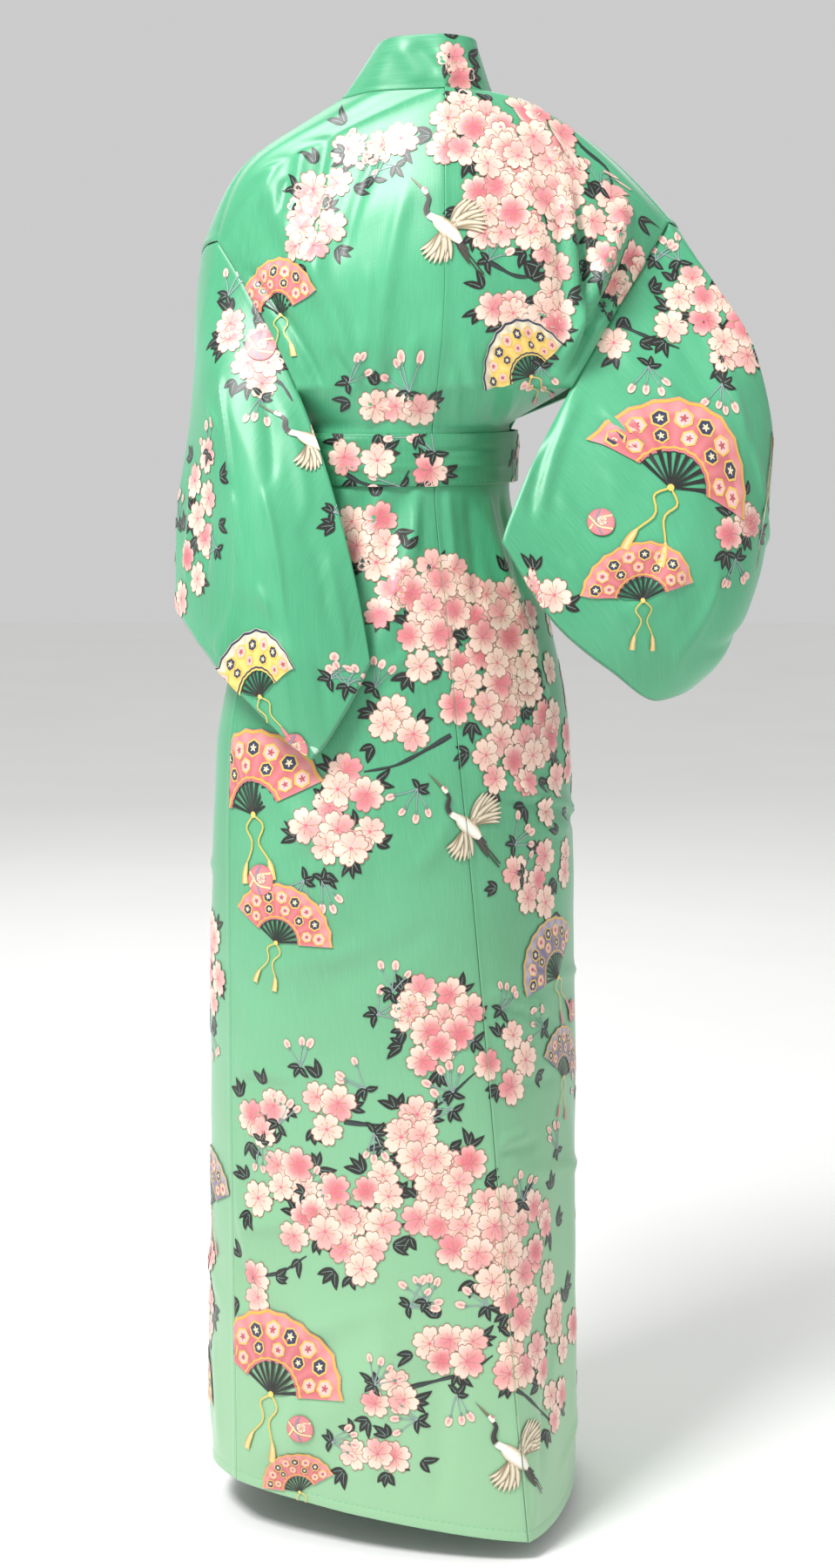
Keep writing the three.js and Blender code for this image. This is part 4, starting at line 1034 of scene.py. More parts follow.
def leafGroup(rng):
    # two or three leaves from one place
    turns = (-38, 0, 36) if rng.random() < 0.65 else (-22, 26)
    parts = []
    for k, turn in enumerate(turns):
        one = leaf(rng.uniform(14, 21), rng.uniform(6.4, 9))
        parts.append(over(moved(one, degrees=turn + rng.uniform(-8, 8)), 0.05 * k))
    return joined(parts)


def bud(stalk, bend, size):
    # an oval bud with a brown line round it, in a small cup on a curved stalk
    t = np.linspace(0, 1, 6)
    line = np.stack([bend * t * t, stalk * t], -1)
    around = turnIn(13)
    rims = rings(0.04, 0.5, 0.84, 1.0) * size * (0.5 + 0.06 * np.sin(around))
    head = polarPatch(around, rims, "petal", rings(0.8, 0.5, 0.28, 0.0))
    head["xy"] = head["xy"] * np.array([0.86, 1.3]) + line[-1] + np.array([0, size * 0.55])
    split = blade([line[-1] + [0, 1], line[-1] + [0.3, size]], np.array([0.5, 0.3]), "petal", 0.04, 2)
    cup = blade([line[-1] + [0, -1.8], line[-1] + [0, 1.8]], np.array([1.4, 3.2]), "stalk", 0.1)
    stem = blade(line, np.full(6, 1.1), "stalk", [0.15, 0.6, 0.25])
    return joined([stem, over(head, 0.06), over(split, 0.12), over(cup, 0.14)])


def budSpray(rng):
    # three or four buds and three leaves from one place
    parts = []
    for k, angle in enumerate((-40, -14, 12, 38)[:rng.integers(3, 5)]):
        one = bud(17 + 7 * rng.random(), rng.uniform(-4, 4), 7.4 + 2.2 * rng.random())
        parts.append(over(moved(one, degrees=-angle + rng.uniform(-6, 6)), 0.05 * k))
    for turn in (95, 150, -120):
        one = leaf(rng.uniform(11, 15), 6.4)
        parts.append(over(moved(one, degrees=turn + rng.uniform(-15, 15)), 0.2))
    return joined(parts)


def crane():
    # a crane that flies to the left: two wings of separate feathers, a dark tail, long legs and bill
    parts = []
    for feathers, root, reach, low, high in ((8, (-1, -4), 31, -118, -52), (10, (3, 3), 40, 22, 84)):
        for k in range(feathers):
            a = np.radians(low + (high - low) * k / (feathers - 1))
            out = reach * (0.78 + 0.22 * np.sin(np.pi * (k + 1) / (feathers + 1)))
            tip = np.array([np.cos(a), np.sin(a)]) * out
            bend = np.array([-np.sin(a), np.cos(a)]) * 2.4
            line = curve([root, root + tip * 0.5 + bend, root + tip], 7)
            wide = 6.4 * np.sin(np.pi * (0.16 + 0.8 * np.linspace(0, 1, 7))) ** 0.7
            feather = blade(line, wide, "feather", [0.86, 0.5, 0.24, 0.42, 0.9], 5)
            parts.append(over(feather, 0.05 * (k % 3)))
    for k in range(5):
        out = curve([(11, -3), (19, -7 - k), (27 + 1.5 * k, -8 - 3.2 * k)], 5)
        feather = blade(out, np.array([3, 5, 5, 3.6, 1.0]), "feather", [0.97, 0.84, 1.0])
        parts.append(over(feather, 0.06 * (k % 2)))
    for drop in (0, -3.4):
        leg = curve([(13, -6), (30, -13 + drop), (49, -22 + drop)], 6)
        parts.append(blade(leg, np.full(6, 1.5), "feather", 0.95))
    t = np.linspace(0, 1, 9)
    body = curve([(18, -6), (8, -2), (-6, 2), (-14, 5)], 9)
    wide = 14 * np.sin(np.pi * (0.08 + 0.82 * t)) ** 0.7
    parts.append(over(blade(body, wide, "feather", [0.6, 0.12, 0.0, 0.06, 0.5], 5), 0.2))
    neck = curve([(-11, 4), (-20, 5), (-26, 11), (-27, 19), (-33, 24)], 14)
    shade = np.where(np.linspace(0, 1, 14) > 0.25, 0.98, 0.1)[:, None] * np.array([1.0, 1.0, 0.9])
    parts.append(over(blade(neck, np.linspace(7, 3.2, 14), "feather", shade), 0.24))
    head = blade([(-31, 23), (-34, 25), (-38, 26.6)], np.array([3.4, 5, 3]), "feather", [0.3, 0.05, 0.3])
    crown = blade([(-33, 26.6), (-36, 27.6)], np.array([2, 1.6]), "petal", 1.0)
    bill = blade([(-37, 26), (-46, 30), (-55, 34)], np.array([2.6, 1.7, 0.4]), "feather", [0.9, 0.7, 0.9])
    parts += [over(head, 0.28), over(crown, 0.34), bill]
    return joined(parts)


fan = {"reach": 62.0, "opening": 150.0, "ribs": 10}      # millimetres, degrees and count


def foldingFan(field):
    # an open folding fan: a pleated paper sector with gold borders and a scatter of hexagons and small
    # five-lobed flowers, over dark ribs that meet at the rivet, and a cord with two tassels
    parts = []
    reach, opening, ribs = fan["reach"], fan["opening"], fan["ribs"]
    edge = np.radians(np.linspace(90 - opening / 2, 90 + opening / 2, 2 * ribs + 1))
    for k in range(ribs):
        a = edge[2 * k + 1]
        rib = np.outer([1, reach * 0.42], [np.cos(a), np.sin(a)])
        parts.append(blade(rib, np.array([1.0, 3.2]), "dark", [0.0, 0.3, 0.1]))
    share = np.linspace(0.4, 1, 13)[:, None]
    isRidge = np.arange(2 * ribs + 1) % 2 == 0
    pleat = np.where(isRidge, 1.0, 0.975)[None, :]
    tones = {"coral": (0.34, 0.16), "gold": (0.42, 0.34), "violet": (0.3, 0.45)}[field]
    tone = np.where(isRidge, *tones)[None, :] + 0.25 * (share > 0.8)
    parts.append(over(polarPatch(edge[None, :], reach * share * pleat, field, tone), 0.1))
    for low, high in ((0.43, 0.455), (0.955, 0.99)):
        border = 0.22 if field != "gold" else 0.98
        parts.append(over(polarPatch(edge[None, :], rings(low, high) * reach * pleat, "gold", border), 0.3))
    for row, count in ((0.57, 5), (0.77, 8)):
        for k in range(count):
            a = np.radians(90 - opening / 2 + opening * (k + 0.5) / count)
            at = reach * row * np.array([np.cos(a), np.sin(a)])
            one = hexFlower(5.8 if row < 0.7 else 7.0, k)
            parts.append(over(moved(one, *at, degrees=np.degrees(a)), 0.3))
    for bow in (-1, 1):
        cord = curve([(0, 0), (8 * bow, -9), (3 * bow, -20), (10 * bow, -34)], 12)
        parts.append(over(blade(cord, np.full(12, 1.3), "gold", 0.3), 0.3))
        tassel = curve([cord[-1], cord[-1] + [2 * bow, -8], cord[-1] + [2.6 * bow, -15]], 5)
        threads = "coral" if field != "coral" else "gold"
        parts.append(over(blade(tassel, np.array([2, 4.4, 5.2, 5.8, 6.2]), threads, [0.1, 0.5, 0.2]), 0.34))
    parts.append(over(polarPatch(turnIn(9), rings(0.05, 2.4), "gold", 0.4), 0.4))
    return joined(parts)


def hexFlower(size, k):
    # a hexagon outlined in gold round a small flower, the usual tortoiseshell pattern
    six = np.radians(np.arange(0, 361, 60))[None, :]
    ink, fieldTone, flowerTone = ("gold", 0.94, 0.55) if k % 2 else ("coral", 0.9, 0.0)
    field = polarPatch(six, rings(0.03, 0.8) * size, ink, fieldTone)
    rim = polarPatch(six, rings(0.78, 1.0) * size, "gold", 0.3)
    lobes = size * (0.3 + 0.14 * np.cos(5 * turnIn(21)))
    flower = polarPatch(turnIn(21), rings(0.05, 1.0) * lobes, ink, flowerTone)
    return joined([field, over(rim, 0.1), over(flower, 0.18)])


def threadBall():
    # a wound ball: a disc with crossing bands of thread and a small flower
    size = 17.0
    parts = [polarPatch(turnIn(25), rings(0.02, 0.94, 1.0) * size, "coral", rings(0.6, 0.35, 0.0))]
    for k, ink in enumerate(("gold", "violet", "gold")):
        a = np.radians(60 * k + 12)
        ends = size * 0.96 * np.array([np.cos(a), np.sin(a)])
        bow = 0.35 * size * np.array([-np.sin(a), np.cos(a)])
        wound = blade(curve([-ends, bow, ends], 9), np.full(9, 2.4), ink, [0.3, 0.6, 0.3])
        parts.append(over(wound, 0.12 + 0.08 * k))
    parts.append(over(moved(petalBlossom(6.5, 0.2, (0, 0)), 2, 1), 0.4))
    return joined(parts)


printed = {name: [] for name in panels}
rng = np.random.default_rng(4665)
rowStep = 1e4                 # sets the rows apart where all of them are searched at once
# The print is laid out on each panel by distance: along the row from its first column, and from row to row
for name, panel in panels.items():
    ring = [np.concatenate([grid, grid[:, :1]], axis=1) if isRing(name) else grid
            for grid in (panel["points"], panel["normal"])]
    run = lengths(ring[0])
    down = np.linalg.norm(np.diff(ring[0], axis=0), axis=2).mean(1)
    panel["ring"], panel["run"] = np.concatenate(ring, axis=2), run
    panel["down"] = np.concatenate([[0], np.cumsum(down)])
    panel["search"] = (run + rowStep * np.arange(len(run))[:, None]).ravel()


def onSkin(name, r, a):
    # points and outward directions of the skin at distances down and along; beyond an edge, at the edge
    panel = panels[name]
    columns = panel["run"].shape[1]
    i = np.interp(r, panel["down"], np.arange(len(panel["down"])))
    low = np.minimum(i.astype(int), len(panel["down"]) - 2)
    ends = []
    for row in (low, low + 1):
        wide = panel["run"][row, -1]
        b = a % wide if isRing(name) else np.clip(a, 0, wide)
        k = np.searchsorted(panel["search"], b + rowStep * row, side="right") - 1 - row * columns
        k = np.clip(k, 0, columns - 2)
        before, after = panel["run"][row, k], panel["run"][row, k + 1]
        t = ((b - before) / np.maximum(after - before, 1e-9))[:, None]
        ends.append(mix(panel["ring"][row, k], panel["ring"][row, k + 1], t))
    both = mix(ends[0], ends[1], (i - low)[:, None])
    return both[:, :3], both[:, 3:]


def localFrames(name, r, a):
    # how far down and along the skin a millimetre to the right and one upwards go, at places of a panel
    panel = panels[name]
    r = np.clip(r, 3, panel["down"][-1] - 3)
    if not isRing(name):
        a = np.clip(a, 3, np.interp(r, panel["down"], panel["run"][:, -1]) - 3)
    n = onSkin(name, r, a)[1]
    n /= np.linalg.norm(n, axis=1, keepdims=True)
    alongRow = (onSkin(name, r, a + 2)[0] - onSkin(name, r, a - 2)[0]) / 4
    downRows = (onSkin(name, r + 2, a)[0] - onSkin(name, r - 2, a)[0]) / 4
    up = np.array([0, 0, 1.0]) - n * n[:, 2:]
    up /= np.maximum(np.linalg.norm(up, axis=1, keepdims=True), 1e-6)
    right = np.cross(up, n)
    grid = np.stack([np.stack([(downRows * right).sum(1), (alongRow * right).sum(1)], -1),
                     np.stack([(downRows * up).sum(1), (alongRow * up).sum(1)], -1)], -2)
    return np.linalg.inv(grid)


def lay(name, r, a, part, layer):
    step = localFrames(name, np.array([r]), np.array([a]))[0]
    place = part["xy"] @ step.T + np.array([r, a])
    printed[name].append({**part, "place": place, "lift": 0.35 + 0.09 * layer + part["rise"]})


seamRows = 30                 # the top rows, past the end of the centre-back seam
# What lies over what: the first blossom's layer is followed by those of the next eight
layers = {"leaf": 1, "bud": 2, "blossom": 3, "large": 12, "ball": 17}


def stamp(name, r, a, part, degrees, scale, layer):
    # lays a motif on a panel, a few hundredths above what it covers; over the centre-back seam the print
    # runs on, so a motif near it is laid on both backs
    part = moved(part, degrees=degrees, scale=scale)
    lay(name, r, a, part, layer)
    down = panels[name]["down"]
    if name.startswith("back") and a < np.abs(part["xy"]).max() and r < down[-seamRows]:
        other = "back_right" if name == "back_left" else "back_left"
        row = np.interp(r, down, np.arange(len(down)))
        otherDown = panels[other]["down"]
        lay(other, np.interp(row, np.arange(len(otherDown)), otherDown), -a, part, layer)


def seen(pixels):
    # panel and place of each pixel: the nearest point in the picture, then one step of Newton's method;
    # where panels overlap in the picture, the one nearest to the camera
    pixels = np.atleast_2d(np.asarray(pixels, float))
    best = [None] * len(pixels)
    depth = np.full(len(pixels), -1e9)
    for name, view in seenPanels.items():
        panel = panels[name]
        for k, pixel in enumerate(pixels):
            far = ((view["flat"] - pixel) ** 2).sum(1) + view["facing"]
            near = int(np.argmin(far))
            if far[near] < 40 and view["y"][near] > depth[k]:
                i, j = divmod(near, view["shape"][1])
                di, dj = np.clip(view["inverse"][near] @ (pixel - view["flat"][near]), -1, 1)
                r = np.interp(i + di, np.arange(len(panel["down"])), panel["down"])
                a = np.interp(j + dj, np.arange(panel["run"].shape[1]), panel["run"][i])
                best[k], depth[k] = (name, r, a), view["y"][near]
    return best


def placeOn(name, level, a):
    # place at a distance along a row, which a body panel has at a level and a sleeve at a distance down
    panel = panels[name]
    return name, np.interp(level, panel["levels"], panel["down"]) if panel["levels"].ndim == 1 else level, a


seenPanels = {}
for name in ("back_left", "back_right", "sleeve_left", "sleeve_right", "collar", "belt"):
    panel = panels[name]
    picture = inPicture(panel["points"])
    toCamera = np.array(camera["place"]) - panel["points"]
    hidden = (panel["normal"] * toCamera).sum(-1) < 0
    matrix = np.stack([np.gradient(picture, axis=0), np.gradient(picture, axis=1)], -1)
    thin = np.abs(np.linalg.det(matrix)) < 0.05
    matrix[thin] = np.eye(2) * 5
    seenPanels[name] = {
        "flat": picture.reshape(-1, 2), "facing": np.where(hidden | thin, 1e9, 0.0).ravel(),
        "shape": picture.shape[:2], "y": panel["points"][..., 1].ravel(),
        "inverse": np.linalg.inv(matrix).reshape(-1, 2, 2)}

blossomRadius = 18.2
# how pink a blossom is, and where on it the pink is deepest
blushes = [
    (0.25, 0, 0), (0.5, 6, 4), (0.85, -6, 5), (1.0, 3, -7),
    (0.7, -8, -3), (0.35, 8, -6), (1.1, -2, 3), (0.6, 0, 9),
]
blossoms = [petalBlossom(blossomRadius, pink, (x, y)) for pink, x, y in blushes]


def layMass(spots, seed):
    # blossoms over the leaves, in layers that the next one covers
    pick = np.random.default_rng(seed)
    for k, spot in enumerate(spots):
        if spot:
            one = blossoms[pick.integers(len(blossoms))]
            stamp(*spot, one, pick.uniform(0, 360), pick.uniform(0.86, 1.1), layers["blossom"] + k % 9)


def spread(cx, cy, halfWide, halfTall, pitch, seed):
    # places on a jittered triangular lattice inside an ellipse
    pick = np.random.default_rng(seed)
    rows = np.arange(-halfTall, halfTall + 1, pitch * 0.86)
    places = []
    for n, y in enumerate(rows):
        for x in np.arange(-halfWide - pitch, halfWide + pitch, pitch) + (n % 2) * pitch / 2:
            dx, dy = pick.normal(0, 0.12 * pitch, 2)
            if ((x + dx) / halfWide) ** 2 + ((y + dy) / halfTall) ** 2 <= 1.0:
                places.append((cx + x + dx, cy + y + dy))
    return np.array(places) if places else np.array([(cx, cy)])


def rimOf(cx, cy, halfWide, halfTall, count, seed):
    # places a little outside an ellipse, and their angles
    reach = 1.04
    pick = np.random.default_rng(seed)
    a = np.linspace(0, 2 * np.pi, count, endpoint=False) + pick.uniform(-0.4, 0.4, count)
    return np.stack([cx + halfWide * reach * np.cos(a), cy + halfTall * reach * np.sin(a)], -1), np.degrees(a)


# Masses of blossom by the pixels of their middle, half width and half height
seenMasses = [
    (545, 150, 48, 34), (600, 165, 55, 60), (590, 235, 60, 48), (640, 205, 22, 40), (625, 262, 32, 34),
    (575, 345, 26, 20), (610, 362, 34, 40), (632, 335, 20, 30), (425, 160, 38, 25), (372, 214, 32, 26),
    (362, 270, 26, 38), (352, 245, 20, 30), (448, 468, 44, 26), (412, 526, 28, 24), (494, 540, 12, 10),
    (420, 604, 34, 34), (452, 668, 34, 40), (505, 690, 44, 40), (560, 700, 50, 46), (600, 740, 46, 56),
    (560, 780, 52, 50), (620, 690, 28, 36), (585, 850, 46, 60), (625, 880, 34, 58), (640, 800, 18, 60),
    (488, 745, 32, 34), (452, 838, 28, 28), (402, 905, 30, 24), (374, 960, 32, 40), (412, 968, 20, 20),
    (620, 1015, 48, 34), (648, 985, 18, 30), (502, 1180, 42, 48), (478, 1160, 24, 26),
    (588, 1220, 30, 32), (372, 1268, 28, 30), (292, 1280, 20, 30), (312, 1262, 16, 20),
    (330, 1340, 34, 30), (300, 1370, 22, 24), (372, 1380, 40, 40), (408, 1420, 42, 44),
    (350, 1420, 24, 26), (430, 1370, 24, 26), (480, 1310, 36, 32), (510, 1350, 46, 40),
    (545, 1400, 40, 44), (490, 1400, 26, 26), (560, 1445, 28, 30), (470, 1290, 22, 22),
    (610, 1420, 30, 40), (640, 1390, 20, 26), (615, 1490, 34, 50), (640, 1550, 24, 56),
    (600, 1560, 20, 34), (292, 1470, 24, 32), (512, 1545, 38, 32), (446, 1612, 28, 26),
    (420, 1668, 34, 26), (460, 1670, 24, 24), (702, 250, 30, 26), (712, 300, 34, 34), (724, 340, 22, 24),
    (712, 388, 22, 20), (790, 345, 28, 26), (830, 372, 34, 34), (838, 402, 24, 20), (776, 375, 18, 20),
    (862, 590, 20, 22), (850, 615, 22, 26), (282, 400, 30, 38), (272, 380, 20, 24), (300, 425, 16, 20),
    (233, 560, 20, 40), (214, 650, 18, 40), (235, 600, 16, 20), (520, 58, 18, 14), (528, 86, 10, 10),
    (630, 1610, 14, 30),
]
# Branches by the pixels that they run through
seenBranches = [
    [(385, 200), (410, 188), (440, 176), (480, 152)], [(398, 545), (420, 556), (455, 562), (470, 540)],
    [(410, 700), (438, 706), (470, 716), (492, 700)], [(518, 844), (480, 866), (450, 880), (418, 886)],
    [(395, 1288), (440, 1292), (500, 1270), (545, 1232)],
    [(405, 1415), (450, 1408), (500, 1404), (575, 1430)], [(286, 1466), (318, 1462), (352, 1442)],
    [(472, 1592), (505, 1584), (540, 1574), (566, 1556)], [(380, 905), (362, 930), (350, 955)],
    [(640, 130), (668, 168), (700, 200), (706, 240)], [(690, 360), (732, 382), (780, 400)],
    [(580, 1590), (600, 1600), (640, 1640)], [(560, 300), (600, 318), (640, 310)],
    [(300, 430), (322, 440), (336, 460)],
]
# Single motifs by their pixels: cranes with turn and size, fans with ink, turn and size, balls with size
seenCranes = [(512, 262, -26, 1.0), (540, 948, -24, 1.0), (590, 1672, -26, 1.05), (356, 506, -8, 0.9)]
seenFans = [
    ("coral", 322, 362, 8, 0.86), ("coral", 770, 560, -24, 1.5), ("coral", 738, 690, 6, 0.95),
    ("gold", 300, 800, 22, 1.0), ("coral", 292, 935, 12, 1.35), ("coral", 318, 1082, -16, 0.95),
    ("violet", 640, 1122, 24, 1.0), ("violet", 646, 1236, -20, 0.85), ("coral", 312, 1600, -10, 1.35),
    ("coral", 345, 1712, 20, 0.7), ("gold", 610, 432, 30, 0.8),
]
seenBalls = [
    (300, 398, 0.9), (800, 690, 0.8), (338, 860, 0.8), (300, 1010, 0.9), (345, 1640, 0.8),
    (690, 600, 0.8), (655, 1160, 0.7),
]
# Lone sprays of buds: pixel and turn
seenSprays = [
    (470, 450, 20), (400, 440, -50), (430, 205, 20), (455, 190, 60), (395, 175, -60), (670, 130, 60),
    (690, 160, 80), (560, 300, -40), (585, 400, -60), (620, 420, 180), (480, 500, 60), (382, 588, -70),
    (430, 790, -40), (380, 780, -50), (400, 790, 10), (480, 905, 150), (370, 1010, 190), (432, 1165, -60),
    (450, 1140, -20), (545, 1195, 70), (345, 1225, -10), (430, 1300, 170), (520, 1255, 20),
    (470, 1500, -60), (490, 1495, 10), (560, 1500, 40), (480, 1630, 80), (430, 1590, -30),
    (380, 1655, -80), (525, 1600, 170), (600, 1005, -80), (590, 970, -60), (575, 1160, -30),
    (625, 1180, 60), (320, 1290, -20), (300, 1310, 180), (420, 1250, 40), (660, 1250, 40),
    (350, 1370, -60), (690, 215, -20), (752, 300, -20), (780, 300, 20), (690, 320, -60), (745, 420, 180),
    (830, 440, 170), (845, 640, 180), (262, 340, -30), (240, 520, 10), (205, 600, -20), (250, 630, 60),
    (300, 455, 150), (520, 1275, 60), (640, 1320, 20), (600, 1380, -20), (460, 560, 80), (500, 520, 30),
    (350, 1010, 150),
]


def addBranch(points):
    # the part of a branch that lies on one panel, the one that carries its middle
    spots = seen(curve(points, 6 * len(points)))
    middle = spots[len(spots) // 2]
    kept = np.array([s[1:] for s in spots if s and middle and s[0] == middle[0]])
    if len(kept) > 3:
        addRibbon(middle[0], kept[:, 0], kept[:, 1])


def addRibbon(name, r, a):
    # a knobbly branch along places of a panel, dark with a lighter streak, tapering to its tip
    full = 4.6
    frames = localFrames(name, r, a)
    steps = np.stack([np.gradient(r), np.gradient(a)], -1)
    flat = np.linalg.solve(frames, steps[..., None])[..., 0]
    side = np.stack([-flat[:, 1], flat[:, 0]], -1)
    side /= np.maximum(np.linalg.norm(side, axis=1, keepdims=True), 1e-6)
    t = np.linspace(0, 1, len(r))
    width = full * (1 - 0.6 * t) * (1 + 0.22 * np.sin(17 * t))
    w = np.array([-0.5, -0.12, 0.2, 0.5])
    offset = side[:, None] * (width[:, None] * w)[..., None]
    place = np.stack([r, a], -1)[:, None] + np.einsum("nab,nwb->nwa", frames, offset)
    tone = np.array([0.35, 0.85, 0.5, 0.1])[None, :] + 0 * t[:, None]
    shareAlong, shareAcross = np.meshgrid(t, w + 0.5, indexing="ij")
    part = motif(np.zeros((place.size // 2, 2)), gridFaces(len(r), 4, -1), "dark", tone.ravel(),
                 np.stack([shareAlong, shareAcross], -1).reshape(-1, 2))
    printed[name].append({**part, "place": place.reshape(-1, 2), "lift": np.full(len(part["tone"]), 0.3)})


def addMass(name, level, a, wide, tall, seed):
    # a bunch on a side that the photo doesn't show, by level and distance along the row
    rim, turns = rimOf(0, 0, wide, tall, int((wide + tall) / 14), seed)
    base = placeOn(name, level, a)
    sign = np.sign(localFrames(name, np.array([base[1]]), np.array([base[2]]))[0, 1, 0])
    for (dx, dy), turn in zip(rim, turns):
        stamp(name, base[1] + dy, base[2] + sign * dx, leafGroup(rng), turn - 90, 1.0, layers["leaf"])
    places = spread(0, 0, wide, tall, 27, seed + 1)
    layMass([(name, base[1] + dy, base[2] + sign * dx) for dx, dy in places], seed + 2)
    for turn in (60, 200):
        dx, dy = 1.25 * np.sin(np.radians(turn)), 1.25 * np.cos(np.radians(turn))
        stamp(name, base[1] + tall * dy, base[2] - sign * wide * dx, budSpray(rng), turn, 1.0, layers["bud"])


def stampSeen(x, y, make, turn, size, layer):
    # a motif at a pixel; it is made only where the pixel meets a panel
    spot = seen([(x, y)])[0]
    if spot:
        stamp(*spot, make(), turn, size, layer)


def addSeenPrint():
    for branch in seenBranches:
        addBranch(branch)
    for k, (cx, cy, wide, tall) in enumerate(seenMasses):
        rim, turns = rimOf(cx, cy, wide, tall, max(3, int((wide + tall) / 17)), 100 + k)
        for (spot, turn) in zip(seen(rim), turns):
            if spot:
                one = leafGroup(rng)
                stamp(*spot, one, -turn - 90 + rng.uniform(-25, 25), 1.0, layers["leaf"])
        layMass(seen(spread(cx, cy, wide, tall, 31, 200 + k)), 300 + k)
    for x, y, turn in seenSprays:
        stampSeen(x, y, lambda: budSpray(rng), turn, 1.0, layers["bud"])
    for ink, x, y, turn, size in seenFans:
        stampSeen(x, y, lambda: foldingFan(ink), turn, size, layers["large"])
    for x, y, size in seenBalls:
        stampSeen(x, y, threadBall, 20, size, layers["ball"])
    for x, y, turn, size in seenCranes:
        stampSeen(x, y, crane, turn, size, layers["large"])


addSeenPrint()
print("print of the back laid out")


# The same print on the sides that the photo doesn't show: level (or distance from the first row), distance
# along the row, half width and half height
hiddenMasses = {
    "front_left": [(-200, 130, 40, 50), (-470, 90, 46, 60), (-640, 200, 44, 56), (-860, 70, 44, 60),
                   (-1000, 220, 46, 50), (-1190, 110, 60, 66), (-1330, 240, 40, 44)],
    "front_right": [(-170, 110, 44, 50), (-300, 60, 30, 34), (-520, 150, 46, 60), (-760, 60, 44, 60),
                    (-1040, 150, 46, 60), (-1260, 60, 50, 56), (-1340, 210, 40, 40)],
    "overlap_left": [(-560, 70, 36, 44), (-760, 110, 30, 50), (-1080, 70, 40, 56), (-1300, 120, 36, 50)],
    "overlap_right": [(-640, 60, 34, 44), (-980, 80, 34, 50), (-1280, 70, 34, 50)],
    "sleeve_left": [(60, 560, 34, 40), (150, 470, 40, 44), (250, 590, 34, 44), (330, 470, 30, 36)],
    "sleeve_right": [(60, 520, 34, 40), (150, 600, 40, 44), (230, 480, 36, 44), (90, 640, 30, 36)],
}
# Fans there: ink, level (or distance), distance along the row, turn and size
hiddenFans = {
    "front_left": [
        ("coral", -330, 100, 10, 0.9), ("coral", -760, 200, -20, 1.2), ("violet", -1110, 60, 10, 1.0),
        ("gold", -1340, 110, -10, 0.9),
    ],
    "front_right": [
        ("gold", -420, 120, -12, 0.9), ("coral", -1180, 200, -14, 1.1),
    ],
    "overlap_left": [("violet", -900, 80, 0, 0.9)], "overlap_right": [("coral", -800, 70, 0, 0.9)],
    "sleeve_left": [("coral", 200, 640, 0, 1.0)], "sleeve_right": [("gold", 170, 700, 0, 1.0)],
}
# Cranes there: level and distance along the row
hiddenCranes = {"front_left": (-940, 150), "front_right": (-900, 180)}


def addHiddenPrint():
    for k, (name, masses) in enumerate(hiddenMasses.items()):
        for m, (level, a, wide, tall) in enumerate(masses):
            addMass(name, level, a, wide, tall, 1000 + 40 * k + m)
        for ink, level, a, turn, size in hiddenFans[name]:
            spot = placeOn(name, level, a)
            stamp(*spot, foldingFan(ink), turn, size, layers["large"])
            stamp(name, spot[1] - 60 * size, spot[2] + 20, threadBall(), 20, 0.8, layers["ball"])
        if name in hiddenCranes:
            stamp(*placeOn(name, *hiddenCranes[name]), crane(), -20, 1.0, layers["large"])
    # the neck band's fronts and the belt's front and ends carry single blossoms and sprays
    bandLong, beltLong = panels["collar"]["down"][-1], panels["belt"]["run"].mean(0)[-1]
    for k, share in enumerate((0.05, 0.12, 0.2, 0.27, 0.35, 0.64, 0.71, 0.78, 0.86, 0.94)):
        stamp("collar", bandLong * share, 18 + 16 * (k % 2), blossoms[k % 8], 40 * k, 0.9, 4)
        stamp("collar", bandLong * share + 26, 30, leaf(), 70 * k, 0.9, 2)
        stamp("collar", bandLong * share + 16, 22, blossoms[(k + 3) % 8], 55 * k, 0.75, 5)
    for k, share in enumerate(np.linspace(0.2, 0.8, 9)):
        stamp("belt", 26 + 7 * (-1) ** k, beltLong * share, blossoms[k % 8], 50 * k, 0.85, 4)
        stamp("belt", 22, beltLong * share + 26, budSpray(rng), 30 * k, 0.8, 2)
    for name in ("belt_end_left", "belt_end_right"):
        for k, share in enumerate((0.1, 0.34, 0.6, 0.84)):
            r = panels[name]["down"][-1] * share
            stamp(name, r, 14 + 16 * (k % 2), blossoms[(2 * k) % 8], 60 * k, 0.85, 4)
            stamp(name, r + 22, 26, leaf(), 90 * k, 0.9, 2)
    stamp("belt_knot", 24, 26, blossoms[2], 10, 0.8, 4)


addHiddenPrint()
print("print of the hidden sides laid out")


